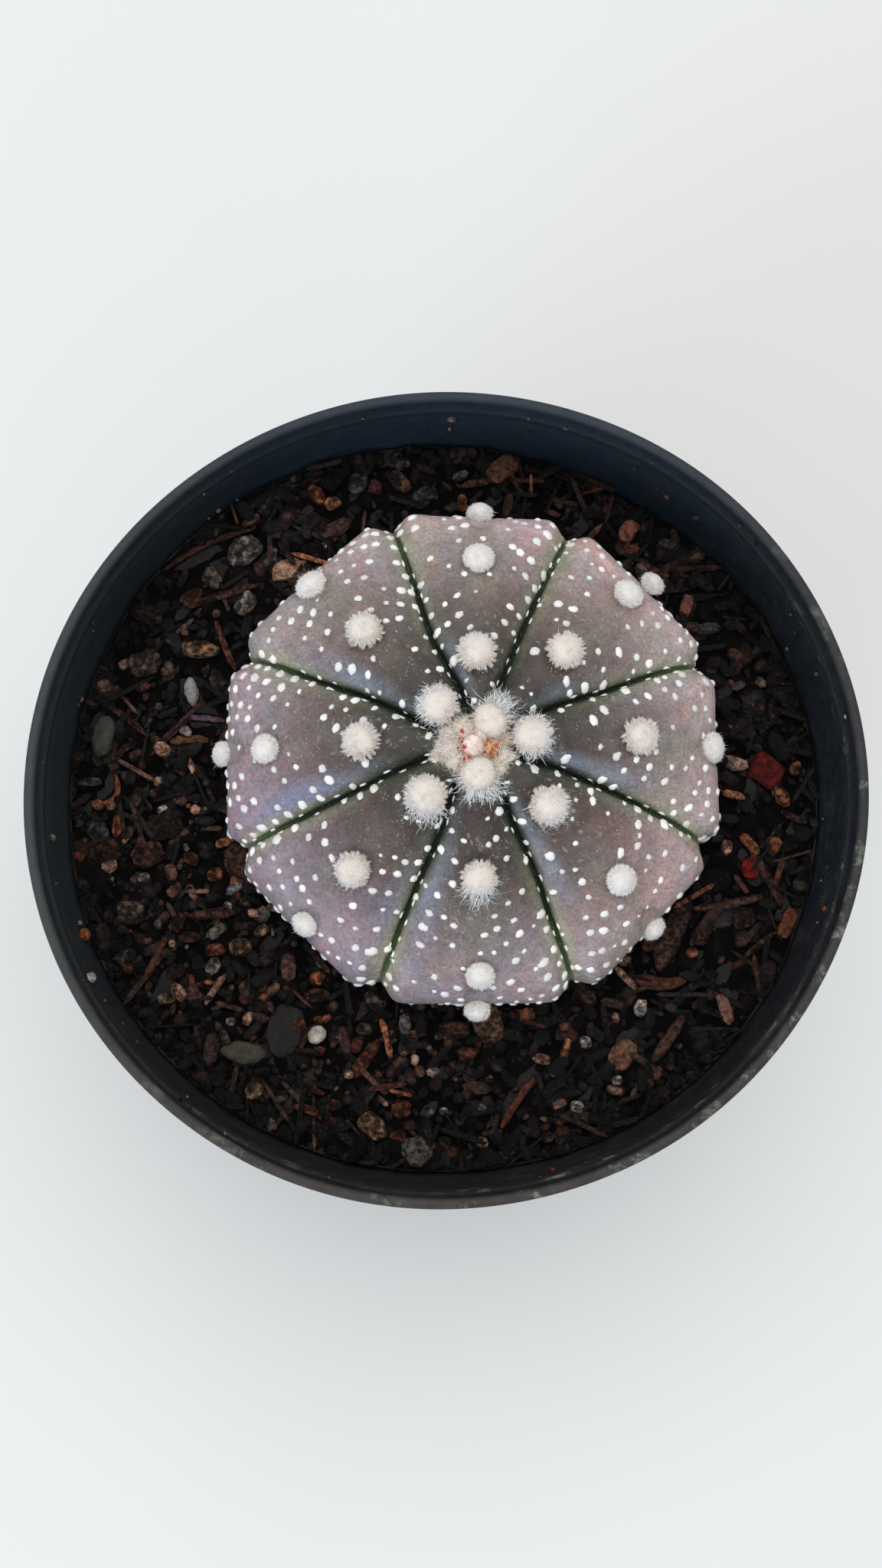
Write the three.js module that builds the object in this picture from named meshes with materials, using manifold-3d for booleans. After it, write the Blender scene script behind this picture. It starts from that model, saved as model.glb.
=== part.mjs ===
// Potted star cactus: a flattened eight-ribbed globular cactus standing in bark
// potting mix in a thin round nursery pot.
// Millimetres, +Z up. Origin: centre of the pot's foot. -Y is the front.
import * as THREE from "three";
import { mergeVertices } from "three/addons/utils/BufferGeometryUtils.js";
import Module from "manifold-3d";

const wasm = await Module();
wasm.setup();

// ---------------------------------------------------------------- dimensions
const POT_HEIGHT = 80;          // foot to lip
const LIP_RADIUS = 50;          // outside of the lip
const LIP_WALL = 1.25;          // thickness of the lip
const OVALITY = 0.0157;         // the thin wall is slightly out of round at the lip
const OVAL_ANGLE = 11.2;        // direction of the longer axis, degrees from +X
const LEDGE_DROP = 3.4;         // small inner ledge below the lip
const LEDGE_STEP = 0.35;
const COLLAR_HEIGHT = 14;       // outer band below the lip
const COLLAR_STEP = 0.9;        // the body wall is set in under the collar
const INNER_TAPER = 0.09;       // inner wall slope below the ledge
const WALL = 1.2;
const FOOT_RADIUS = 39.5;
const FLOOR_UNDER = 1.8;        // floor is raised on the foot ring
const FLOOR_TOP = 3.2;
const DRAIN_RADIUS = 2.5;
const DRAIN_RING = 24;
const DRAIN_COUNT = 8;

const MIX_DEPTH = 12.8;         // mix surface below the lip
const MIX_GAP = 0.3;            // clearance to the pot
const SEAT_GAP = 0.35;          // clearance to the plant and to loose pieces

const PLANT = new THREE.Vector3(3.2, 4.7, 72.5);   // centre of the widest level
const PLANT_RADIUS = 30.4;      // across the flats of the ribs
const CROWN_RISE = 10.3;        // crown above the widest level
const BASE_DROP = 12.0;         // underside below the widest level
const PROFILE_POWER = 2.2;
const RIB_DROP = 1.5;           // rib flank fall towards the groove
const CREASE = 0.8;             // depth of the narrow groove line
const NOTCH = 2.6;              // groove depth in the outline
// polar angle of each groove, degrees, at these radii from the crown
const GROOVE_R = [3, 6, 10, 14, 18, 22, 26, 30];
const GROOVES = [
  [30.5, 30.0, 29.0, 26.5, 24.6, 24.2, 23.4, 22.0],
  [68.5, 69.0, 69.3, 68.9, 68.4, 67.9, 67.3, 66.8],
  [104.0, 104.5, 108.6, 111.6, 110.9, 110.0, 109.6, 109.6],
  [157.5, 157.0, 154.8, 154.6, 155.7, 156.2, 156.4, 157.0],
  [191.5, 192.2, 195.8, 198.9, 200.3, 201.1, 201.8, 202.6],
  [241.0, 242.0, 246.6, 246.8, 246.6, 246.8, 247.1, 247.6],
  [297.8, 297.6, 295.6, 295.8, 295.2, 294.2, 293.8, 293.3],
  [347.0, 346.6, 346.2, 343.9, 342.7, 341.5, 340.4, 338.8],
];
// woolly areoles: [distance from the crown in plan, polar angle, pad radius, pad height; 0 = on the widest level]
const AREOLES = [
  [6.64, 11.0, 2.2, 2.2], [19.67, 4.4, 2.0, 1.9], [29.29, 1.8, 1.7, 1.9],
  [15.79, 47.8, 2.1, 2.0], [27.17, 46.1, 1.8, 1.8], [30.67, 44.3, 1.4, 0],
  [3.54, 60.7, 1.8, 1.6], [11.4, 90.2, 2.2, 2.1], [23.57, 89.0, 1.9, 1.9], [30.2, 88.4, 1.4, 0],
  [6.7, 133.4, 2.2, 2.2], [19.56, 133.4, 2.0, 2.0], [28.85, 134.0, 1.8, 1.9],
  [3.27, 186.9, 1.5, 1.2], [13.82, 177.4, 2.1, 2.1], [25.3, 179.8, 1.8, 1.8], [30.8, 180.6, 1.4, 0],
  [8.48, 223.7, 2.3, 2.2], [20.72, 224.7, 2.0, 2.0], [29.47, 225.2, 1.6, 1.7],
  [3.48, 271.4, 1.9, 1.8], [15.59, 271.0, 2.0, 2.0], [27.03, 271.2, 1.7, 1.8], [31.3, 270.3, 1.4, 0],
  [10.97, 320.6, 2.2, 2.2], [23.15, 317.5, 1.9, 1.9], [30.5, 316.1, 1.4, 0],
];
// level of the mix surface under the lip at the wall, by direction, every 30 degrees from +X
const MIX_LEVELS = [12.8, 13.6, 15.4, 13.6, 12.2, 12.3, 13.2, 12.3, 12.2, 13.4, 11.8, 12.0];

const TAU = Math.PI * 2;
const RAD = Math.PI / 180;

// ------------------------------------------------------------------ materials
const material = (name, color, roughness) => {
  const m = new THREE.MeshStandardMaterial({ color, roughness, metalness: 0 });
  m.name = name;
  return m;
};
const MATERIALS = {
  pot: material("pot_plastic", 0x1d2126, 0.5),
  mix: material("potting_mix", 0x2b2421, 0.95),
  skin: material("cactus_skin", 0x8f8582, 0.75),
  bark: material("bark", 0x4a3a31, 0.9),
  red: material("red_bark", 0x7a3a30, 0.85),
  tan: material("tan_bark", 0xa07a5c, 0.85),
  fibre: material("fibre", 0x8a6f66, 0.85),
  grey: material("grey_stone", 0x7c7a74, 0.8),
  dark: material("dark_stone", 0x4b4c4a, 0.8),
  pale: material("pale_stone", 0xd8d5cc, 0.7),
};

// -------------------------------------------------------------------- helpers
const clamp = (x, a, b) => Math.min(b, Math.max(a, x));
const smooth = (a, b, x) => { const t = clamp((x - a) / (b - a), 0, 1); return t * t * (3 - 2 * t); };
const lerpTable = (xs, ys, x) => {
  if (x <= xs[0]) return ys[0];
  for (let i = 1; i < xs.length; i++)
    if (x <= xs[i]) return ys[i - 1] + (ys[i] - ys[i - 1]) * (x - xs[i - 1]) / (xs[i] - xs[i - 1]);
  return ys[ys.length - 1];
};
// repeatable pseudo-random numbers
const random = (seed) => {
  let s = seed >>> 0;
  return () => {
    s = (s + 0x6d2b79f5) >>> 0;
    let t = Math.imul(s ^ (s >>> 15), 1 | s);
    t = (t + Math.imul(t ^ (t >>> 7), 61 | t)) ^ t;
    return ((t ^ (t >>> 14)) >>> 0) / 4294967296;
  };
};

function toSolid(geometry) {
  const g = geometry.clone();
  g.deleteAttribute("normal");
  g.deleteAttribute("uv");
  const m = mergeVertices(g.index ? g.toNonIndexed() : g, 1e-5);
  const index = Array.from(m.index.array);
  const p = m.attributes.position;
  const tris = [];
  let volume = 0;
  const a = new THREE.Vector3(), b = new THREE.Vector3(), c = new THREE.Vector3();
  for (let i = 0; i < index.length; i += 3) {
    const [i0, i1, i2] = [index[i], index[i + 1], index[i + 2]];
    if (i0 === i1 || i1 === i2 || i0 === i2) continue;
    tris.push(i0, i1, i2);
    a.fromBufferAttribute(p, i0); b.fromBufferAttribute(p, i1); c.fromBufferAttribute(p, i2);
    volume += a.dot(b.cross(c));
  }
  if (volume < 0)
    for (let i = 0; i < tris.length; i += 3) [tris[i + 1], tris[i + 2]] = [tris[i + 2], tris[i + 1]];
  return new wasm.Manifold(new wasm.Mesh({
    numProp: 3,
    vertProperties: new Float32Array(p.array),
    triVerts: new Uint32Array(tris),
  }));
}

function toGeometry(solid) {
  const mesh = solid.getMesh();
  const g = new THREE.BufferGeometry();
  const n = mesh.numProp;
  const pos = new Float32Array(mesh.vertProperties.length / n * 3);
  for (let i = 0; i < pos.length / 3; i++)
    for (let k = 0; k < 3; k++) pos[3 * i + k] = mesh.vertProperties[n * i + k];
  g.setAttribute("position", new THREE.BufferAttribute(pos, 3));
  g.setIndex(Array.from(mesh.triVerts));
  g.computeVertexNormals();
  return g;
}

// a closed skin of rings, each ring a list of points, with a point at either end
function ringSkin(first, rings, last) {
  const pos = [first.x, first.y, first.z];
  for (const ring of rings) for (const v of ring) pos.push(v.x, v.y, v.z);
  pos.push(last.x, last.y, last.z);
  const n = rings[0].length;
  const end = 1 + rings.length * n;
  const at = (i, j) => 1 + i * n + (j % n);
  const index = [];
  for (let j = 0; j < n; j++) {
    index.push(0, at(0, j), at(0, j + 1));
    for (let i = 0; i + 1 < rings.length; i++) {
      index.push(at(i, j), at(i + 1, j), at(i + 1, j + 1));
      index.push(at(i, j), at(i + 1, j + 1), at(i, j + 1));
    }
    index.push(end, at(rings.length - 1, j + 1), at(rings.length - 1, j));
  }
  const g = new THREE.BufferGeometry();
  g.setAttribute("position", new THREE.Float32BufferAttribute(pos, 3));
  g.setIndex(index);
  return g;
}

const ovalFactor = (z, angle) =>
  1 + OVALITY * Math.pow(clamp(z / POT_HEIGHT, 0, 1.1), 1.5) * Math.cos(2 * (angle - OVAL_ANGLE * RAD));

function makeOval(geometry) {
  const p = geometry.attributes.position;
  for (let i = 0; i < p.count; i++) {
    const x = p.getX(i), y = p.getY(i), z = p.getZ(i);
    const k = ovalFactor(z, Math.atan2(y, x));
    p.setXYZ(i, x * k, y * k, z);
  }
  return geometry;
}

function lathe(points, segments) {
  const g = new THREE.LatheGeometry(points.map(([r, z]) => new THREE.Vector2(r, z)), segments);
  g.rotateX(Math.PI / 2);
  return g;
}

// ------------------------------------------------------------------------ pot
// inner wall radius at a height, before the out-of-round factor
function innerRadius(z) {
  const drop = POT_HEIGHT - z;
  const top = LIP_RADIUS - LIP_WALL;
  if (drop < LEDGE_DROP) return top - 0.03 * drop;
  if (drop < COLLAR_HEIGHT + 1) return top - 0.1 - LEDGE_STEP - INNER_TAPER * (drop - LEDGE_DROP);
  return outerRadius(z) - WALL;
}
function outerRadius(z) {
  const drop = POT_HEIGHT - z;
  if (drop < COLLAR_HEIGHT) return LIP_RADIUS - 0.075 * drop;
  const top = LIP_RADIUS - 0.075 * COLLAR_HEIGHT - COLLAR_STEP;
  return FOOT_RADIUS + (top - FOOT_RADIUS) * (z / (POT_HEIGHT - COLLAR_HEIGHT));
}
function makePot() {
  const H = POT_HEIGHT;
  const c = H - COLLAR_HEIGHT;
  const profile = [
    [0, FLOOR_UNDER],
    [FOOT_RADIUS - 5.5, FLOOR_UNDER],
    [FOOT_RADIUS - 4.5, 0],
    [FOOT_RADIUS - 0.6, 0],
    [FOOT_RADIUS, 0.8],
    [outerRadius(30), 30],
    [outerRadius(c - 0.4), c - 0.4],
    [outerRadius(c), c],
    [outerRadius(c) + COLLAR_STEP, c + 0.5],
    [outerRadius(H - 2.6) - 0.12, H - 2.6],
    [LIP_RADIUS - 0.02, H - 1.9],
    [LIP_RADIUS, H - 0.6],
    [LIP_RADIUS - 0.22, H - 0.12],
    [LIP_RADIUS - LIP_WALL / 2, H],
    [LIP_RADIUS - LIP_WALL + 0.2, H - 0.12],
    [innerRadius(H - 0.6), H - 0.6],
    [innerRadius(H - LEDGE_DROP + 0.05), H - LEDGE_DROP + 0.05],
    [innerRadius(H - LEDGE_DROP - 0.2), H - LEDGE_DROP - 0.2],
    [innerRadius(c - 0.9), c - 0.9],
    [innerRadius(c - 3), c - 3],
    [innerRadius(30), 30],
    [innerRadius(FLOOR_TOP + 2), FLOOR_TOP + 2],
    [innerRadius(FLOOR_TOP + 2) - 1.6, FLOOR_TOP],
    [0, FLOOR_TOP],
  ];
  let pot = toSolid(makeOval(lathe(profile, 60)));
  const hole = new THREE.CylinderGeometry(DRAIN_RADIUS, DRAIN_RADIUS, 6, 16).rotateX(Math.PI / 2);
  for (let i = 0; i < DRAIN_COUNT; i++) {
    const a = (i + 0.5) * TAU / DRAIN_COUNT;
    const g = hole.clone().translate(DRAIN_RING * Math.cos(a), DRAIN_RING * Math.sin(a), FLOOR_UNDER);
    pot = pot.subtract(toSolid(g));
  }
  return toGeometry(pot);
}

// --------------------------------------------------------------------- cactus
// groove angles, degrees, at a distance from the crown
const groovesAt = (r) => GROOVES.map((g) => lerpTable(GROOVE_R, g, r));

// a point of the skin: rib index and position across the rib (-1 to 1), and the
// angle down from the crown along the profile (0 to pi)
function skinPoint(rib, s, phi, grow = 0) {
  const power = 2 / PROFILE_POWER;
  const sp = Math.pow(Math.sin(clamp(phi, 0, Math.PI)), power);
  const cp = Math.sign(Math.cos(phi)) * Math.pow(Math.abs(Math.cos(phi)), power);
  let r = PLANT_RADIUS * sp;
  let z = (cp > 0 ? CROWN_RISE : BASE_DROP) * cp;
  // outward direction of the plain profile
  const nr = sp / PLANT_RADIUS;
  const nz = cp / (cp > 0 ? CROWN_RISE : BASE_DROP);
  const len = Math.hypot(nr, nz);
  const g = groovesAt(r);
  let lo = g[(rib + 7) % 8], hi = g[rib];
  if (rib === 0) lo -= 360;
  const mid = (lo + hi) / 2, half = (hi - lo) / 2;
  const angle = (mid + s * half) * RAD;
  // across the rib
  const fade = smooth(2.0, 9.0, r);
  const away = (1 - Math.abs(s)) * half * RAD * r;     // distance to the groove
  const dome = -RIB_DROP * fade * Math.pow(Math.abs(s), 2.6)
    - CREASE * fade * Math.exp(-Math.pow(away / 0.55, 2));
  const delta = Math.abs(s) * 22.5 * RAD;
  const flat = PLANT_RADIUS * (1 / Math.cos(delta) - 1) - NOTCH * Math.exp(-Math.pow(away / 1.75, 2));
  const side = smooth(0.72, 0.98, r / PLANT_RADIUS);
  const out = dome * (1 - side) + flat * side + grow;
  if (phi < Math.PI / 2) z -= 0.9 * Math.exp(-Math.pow(r / 3.2, 2));
  r += out * nr / len;
  z += out * nz / len;
  return new THREE.Vector3(
    PLANT.x + r * Math.cos(angle), PLANT.y + r * Math.sin(angle), PLANT.z + z);
}
const RIB_STEPS = [-1, -0.88, -0.6, -0.25, 0.25, 0.6, 0.88];
const PROFILE_STEPS = [0.1, 0.24, 0.38, 0.52, 0.66, 0.8, 0.94, 1.08, 1.22, 1.38, 1.55, 1.72, 1.9, 2.15, 2.5, 2.85];
function makeCactus(grow = 0) {
  const rings = PROFILE_STEPS.map((phi) => {
    const ring = [];
    for (let rib = 0; rib < 8; rib++)
      for (const s of RIB_STEPS) ring.push(skinPoint(rib, s, phi, grow));
    return ring;
  });
  const top = new THREE.Vector3(PLANT.x, PLANT.y, PLANT.z + CROWN_RISE - 0.9 + grow);
  const bottom = new THREE.Vector3(PLANT.x, PLANT.y, PLANT.z - BASE_DROP - grow);
  return ringSkin(top, rings, bottom);
}

// the plant with its woolly pads, grown together
function makePlant() {
  let body = toSolid(makeCactus());
  for (const [ar, aa, pr, ph] of AREOLES) {
    const phi = Math.asin(Math.pow(Math.min(ar / PLANT_RADIUS, 0.968), PROFILE_POWER / 2));
    const edges = groovesAt(ar);
    let rib = edges.findIndex((g) => aa < g);
    let angle = aa;
    if (rib < 0) { rib = 0; angle = aa - 360; }
    const hi = edges[rib];
    const lo = rib === 0 ? edges[7] - 360 : edges[rib - 1];
    const s = clamp((angle - (lo + hi) / 2) / ((hi - lo) / 2), -0.7, 0.7);
    const p = skinPoint(rib, s, phi);
    const u = skinPoint(rib, s, phi + 0.03).sub(skinPoint(rib, s, phi - 0.03));
    const v = skinPoint(rib, s + 0.05, phi).sub(skinPoint(rib, s - 0.05, phi));
    const n = u.cross(v).normalize();
    const pad = new THREE.IcosahedronGeometry(pr, 1);
    const c = ph > 0 ? p.addScaledVector(n, ph - pr)
      : new THREE.Vector3(PLANT.x + ar * Math.cos(aa * RAD), PLANT.y + ar * Math.sin(aa * RAD), PLANT.z - 0.6);
    pad.translate(c.x, c.y, c.z);
    body = body.add(toSolid(pad));
  }
  return toGeometry(body);
}

// ----------------------------------------------------------------- potting mix
function mixTop(x, y) {
  const r = Math.hypot(x, y);
  const a = ((Math.atan2(y, x) / RAD) + 360) % 360 / 30;
  const i = Math.floor(a), f = a - i;
  const w = f * f * (3 - 2 * f);
  const wall = MIX_LEVELS[i % 12] * (1 - w) + MIX_LEVELS[(i + 1) % 12] * w;
  const level = MIX_DEPTH + (wall - MIX_DEPTH) * smooth(25, 46, r);
  const bumps = 0.35 * Math.sin(x * 0.71 + 1.3) * Math.cos(y * 0.63 - 0.4)
    + 0.25 * Math.sin(x * 1.37 - y * 1.11 + 2.0);
  return POT_HEIGHT - level + bumps;
}
function makeMix(pieces) {
  const n = 60;
  const topRings = [7, 14, 21, 27, 31, 34, 37, 40, 43, 45.3];
  const rings = [];
  const circle = (r, z) => Array.from({ length: n }, (_, j) => {
    const a = j * TAU / n;
    const h = z === null ? mixTop(r * Math.cos(a), r * Math.sin(a)) : z;
    const k = ovalFactor(h, a);
    return new THREE.Vector3(r * k * Math.cos(a), r * k * Math.sin(a), h);
  });
  for (const r of topRings) rings.push(circle(r, null));
  // edge follows the wall at the level of the surface
  rings.push(Array.from({ length: n }, (_, j) => {
    const a = j * TAU / n;
    const h = mixTop(46.5 * Math.cos(a), 46.5 * Math.sin(a));
    const r = (innerRadius(h) - MIX_GAP) * ovalFactor(h, a);
    return new THREE.Vector3(r * Math.cos(a), r * Math.sin(a), h);
  }));
  const c = POT_HEIGHT - COLLAR_HEIGHT;
  for (const z of [c - 2.0, c - 4.5, 30, FLOOR_TOP + 2.3]) rings.push(circle(innerRadius(z) - MIX_GAP - 0.15, z));
  rings.push(circle(innerRadius(FLOOR_TOP + 2) - 2.2, FLOOR_TOP + 0.3));
  const skin = ringSkin(
    new THREE.Vector3(0, 0, mixTop(0, 0)), rings, new THREE.Vector3(0, 0, FLOOR_TOP + 0.3));
  let solid = toSolid(skin);
  solid = solid.subtract(toSolid(makeCactus(SEAT_GAP)));
  for (const g of pieces) solid = solid.subtract(toSolid(g));
  // keep the settled body only, without loose slivers
  const parts = solid.decompose();
  let best = parts[0];
  for (const p of parts) if (p.volume() > best.volume()) best = p;
  return toGeometry(best);
}

// --------------------------------------------------------------- loose pieces
// a broken slab of bark: an irregular outline with chamfered edges
function slab(length, width, thick, seed, grow = 0) {
  const rnd = random(seed);
  const n = 8;
  const outline = Array.from({ length: n }, (_, j) => {
    const a = (j + 0.35 * (rnd() - 0.5)) * TAU / n;
    const k = 0.86 + 0.24 * rnd();
    const e = Math.pow(Math.abs(Math.cos(a)), 0.7) * Math.sign(Math.cos(a));
    return [k * e * length / 2, k * Math.sin(a) * width / 2];
  });
  const level = (scale, z) => outline.map(([x, y]) => {
    const d = Math.hypot(x, y) || 1;
    const k = (scale * d + grow) / d;
    return new THREE.Vector3(x * k, y * k, z);
  });
  const h = thick / 2;
  const rings = [level(0.72, h + grow), level(1, h * 0.35 + grow * 0.4), level(1, -h * 0.35 - grow * 0.4), level(0.72, -h - grow)];
  return ringSkin(new THREE.Vector3(0, 0, h * 1.08 + grow), rings, new THREE.Vector3(0, 0, -h * 1.08 - grow));
}
// a rounded stone
function stone(length, width, thick, seed, grow = 0) {
  const rnd = random(seed);
  const lumps = Array.from({ length: 8 }, () => 0.93 + 0.13 * rnd());
  const levels = [0.55, 1.1, 1.65, 2.25, 2.7];
  const rings = levels.map((p) => Array.from({ length: 8 }, (_, j) => {
    const a = (j + 0.5 * (p > 1.5 ? 0.3 : 0)) * TAU / 8;
    const k = lumps[j];
    return new THREE.Vector3(
      (length / 2 * k + grow) * Math.sin(p) * Math.cos(a),
      (width / 2 * k + grow) * Math.sin(p) * Math.sin(a),
      (thick / 2 + grow) * Math.cos(p));
  }));
  return ringSkin(new THREE.Vector3(0, 0, thick / 2 + grow), rings, new THREE.Vector3(0, 0, -thick / 2 - grow));
}
// a bent stick or fibre along a shallow arc
function stick(length, width, bend, grow = 0) {
  const curve = new THREE.QuadraticBezierCurve3(
    new THREE.Vector3(-length / 2 - grow, 0, 0),
    new THREE.Vector3(0, bend, 0),
    new THREE.Vector3(length / 2 + grow, 0, 0));
  const w = width / 2 + grow;
  const shape = new THREE.Shape();
  shape.moveTo(w, 0);
  for (let k = 1; k < 6; k++) shape.lineTo(w * Math.cos(k * TAU / 6), w * Math.sin(k * TAU / 6));
  shape.closePath();
  return new THREE.ExtrudeGeometry(shape, { extrudePath: curve, steps: 5, bevelEnabled: false });
}
// name, kind, x, y, turn (degrees), [length, width, thickness or bend], material, lift, tilt (degrees)
const LOOSE = [
  ["flat_stone_grey", "stone", -25.2, -31.8, -6, [5.7, 2.7, 1.6], "grey", 0.5, 6],
  ["flat_stone_dark", "slab", -20.1, -29.2, 80, [6.4, 4.2, 1.4], "dark", 0.5, 6],
  ["pebble_white", "stone", -16.1, -29.6, 32, [2.5, 2.0, 1.7], "pale", 0.6, 0],
  ["stone_egg_dark", "stone", -43.4, 7.8, 78, [5.2, 2.8, 2.2], "dark", 0.7, 0],
  ["pebble_long_pale", "stone", -32.4, 13.6, 97, [3.6, 1.8, 1.5], "pale", 0.5, 0],
  ["bark_chip_red_large", "slab", 41.3, 3.7, -40, [5.2, 4.3, 1.7], "red", 0.6, 12],
  ["bark_chip_red_small", "slab", 38.8, -8.7, 80, [2.9, 2.3, 1.2], "red", 0.5, 0],
  ["bark_chip_orange", "slab", 43.2, -15.7, 66, [4.0, 1.9, 1.2], "tan", 0.5, 8],
  ["bark_chip_tan_upright", "slab", 7.3, 43.3, 42, [4.2, 2.8, 1.6], "tan", 0.8, 16],
  ["bark_chip_pinkish", "slab", -20.1, 29.6, 15, [4.4, 3.0, 1.4], "tan", 0.6, 10],
  ["bark_chip_pink_a", "slab", 24.0, 35.6, 52, [3.3, 2.1, 1.3], "tan", 0.5, 0],
  ["bark_chip_pink_b", "slab", 31.3, 25.4, 78, [3.2, 1.6, 1.2], "tan", 0.5, 0],
  ["bark_chip_hook", "stick", -43.2, 1.1, 53, [4.6, 0.9, -3.4], "tan", 0.45, 0],
  ["bark_chip_tan_front", "slab", 22.1, -32.1, 50, [3.9, 2.9, 1.5], "tan", 0.6, 6],
  ["bark_chip_brown_long", "stick", 26.9, -22.8, -3, [6.5, 1.7, -1.0], "bark", 0.6, 0],
  ["stick_pale", "slab", 35.0, -26.4, 108, [3.7, 1.4, 1.1], "tan", 0.5, 0],
  ["fibre_red_brown", "stick", -30.6, 32.0, 26, [12.6, 0.8, 1.6], "fibre", 0.5, 0],
  ["stick_mauve", "stick", -31.1, 10.2, -5, [6.0, 0.8, 0.3], "fibre", 0.5, 0],
  ["stick_tan", "stick", -32.6, 7.3, 2, [4.7, 1.1, 0.4], "tan", 0.5, 0],
  ["stick_pinkish", "stick", -28.7, -24.0, 57, [4.4, 0.9, 0.3], "fibre", 0.5, 0],
  ["stick_red_a", "stick", 9.0, -38.0, 56, [7.4, 1.0, 0.5], "fibre", 0.5, 0],
  ["stick_red_b", "stick", 33.2, -15.6, 50, [7.4, 1.3, 0.5], "bark", 0.6, 0],
];
function makeLoose([name, kind, x, y, turn, size, mat, lift, tilt], seed, grow = 0) {
  let g;
  if (kind === "slab") g = slab(size[0], size[1], size[2], seed, grow);
  else if (kind === "stone") g = stone(size[0], size[1], size[2], seed, grow);
  else g = stick(size[0], size[1], size[2], grow);
  return g;
}

// ------------------------------------------------------------------- assembly
const group = new THREE.Group();
const add = (name, geometry, mat, place) => {
  const mesh = new THREE.Mesh(geometry, mat);
  mesh.name = name;
  if (place) { mesh.position.copy(place.position); mesh.rotation.copy(place.rotation); }
  group.add(mesh);
  return mesh;
};

add("nursery_pot", makePot(), MATERIALS.pot);

const loose = new THREE.Group();
const beds = [];
LOOSE.forEach((spec, i) => {
  const [name, , x, y, turn, , mat, lift, tilt] = spec;
  const mesh = new THREE.Mesh(makeLoose(spec, 100 + i), MATERIALS[mat]);
  mesh.name = name;
  mesh.position.set(x, y, mixTop(x, y) + lift);
  mesh.rotation.set(0, tilt * RAD, turn * RAD, "ZYX");
  loose.add(mesh);
  const bed = makeLoose(spec, 100 + i, 0.3);
  mesh.updateMatrix();
  bed.applyMatrix4(mesh.matrix);
  beds.push(bed);
});
add("potting_mix", makeMix(beds), MATERIALS.mix);
add("cactus_body", makePlant(), MATERIALS.skin);
group.add(loose);

export default group;
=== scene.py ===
import bpy
import math
import numpy as np
from mathutils import Matrix, Vector


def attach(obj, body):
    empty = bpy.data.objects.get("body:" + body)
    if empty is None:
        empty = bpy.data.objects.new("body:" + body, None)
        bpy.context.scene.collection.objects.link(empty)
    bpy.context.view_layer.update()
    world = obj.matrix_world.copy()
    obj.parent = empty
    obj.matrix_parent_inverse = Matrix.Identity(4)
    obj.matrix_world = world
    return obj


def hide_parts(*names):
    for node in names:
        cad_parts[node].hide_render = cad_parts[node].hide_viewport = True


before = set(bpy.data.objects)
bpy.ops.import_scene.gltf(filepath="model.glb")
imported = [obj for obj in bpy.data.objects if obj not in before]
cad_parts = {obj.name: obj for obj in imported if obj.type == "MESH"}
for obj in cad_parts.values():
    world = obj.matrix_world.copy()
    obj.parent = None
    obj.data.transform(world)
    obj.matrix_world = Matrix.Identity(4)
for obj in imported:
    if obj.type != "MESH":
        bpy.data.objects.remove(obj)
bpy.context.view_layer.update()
MM = 0.001
TAU = 2 * math.pi

# ------------------------------------------------------------------ numbers
POT_HEIGHT = 80.0
LIP_RADIUS = 50.0
LIP_WALL = 1.25
OVALITY = 0.0157
OVAL_ANGLE = math.radians(11.2)
LEDGE_DROP = 3.4
LEDGE_STEP = 0.35
COLLAR_HEIGHT = 14.0
COLLAR_STEP = 0.9
INNER_TAPER = 0.09
WALL = 1.2
FOOT_RADIUS = 39.5
FLOOR_UNDER = 1.8
FLOOR_TOP = 3.2
MIX_DEPTH = 12.8
MIX_LEVELS = np.array([12.8, 13.6, 15.4, 13.6, 12.2, 12.3, 13.2, 12.3, 12.2, 13.4, 11.8, 12.0])
PLANT = np.array([3.2, 4.7, 72.5])
PLANT_RADIUS = 30.4
CROWN_RISE = 10.3
BASE_DROP = 12.0
PROFILE_POWER = 2.2
RIB_DROP = 1.5
CREASE = 0.8
NOTCH = 2.6
GROOVE_R = [3, 6, 10, 14, 18, 22, 26, 30]
GROOVES = np.array([
    [30.5, 30.0, 29.0, 26.5, 24.6, 24.2, 23.4, 22.0],
    [68.5, 69.0, 69.3, 68.9, 68.4, 67.9, 67.3, 66.8],
    [104.0, 104.5, 108.6, 111.6, 110.9, 110.0, 109.6, 109.6],
    [157.5, 157.0, 154.8, 154.6, 155.7, 156.2, 156.4, 157.0],
    [191.5, 192.2, 195.8, 198.9, 200.3, 201.1, 201.8, 202.6],
    [241.0, 242.0, 246.6, 246.8, 246.6, 246.8, 247.1, 247.6],
    [297.8, 297.6, 295.6, 295.8, 295.2, 294.2, 293.8, 293.3],
    [347.0, 346.6, 346.2, 343.9, 342.7, 341.5, 340.4, 338.8]])
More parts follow.
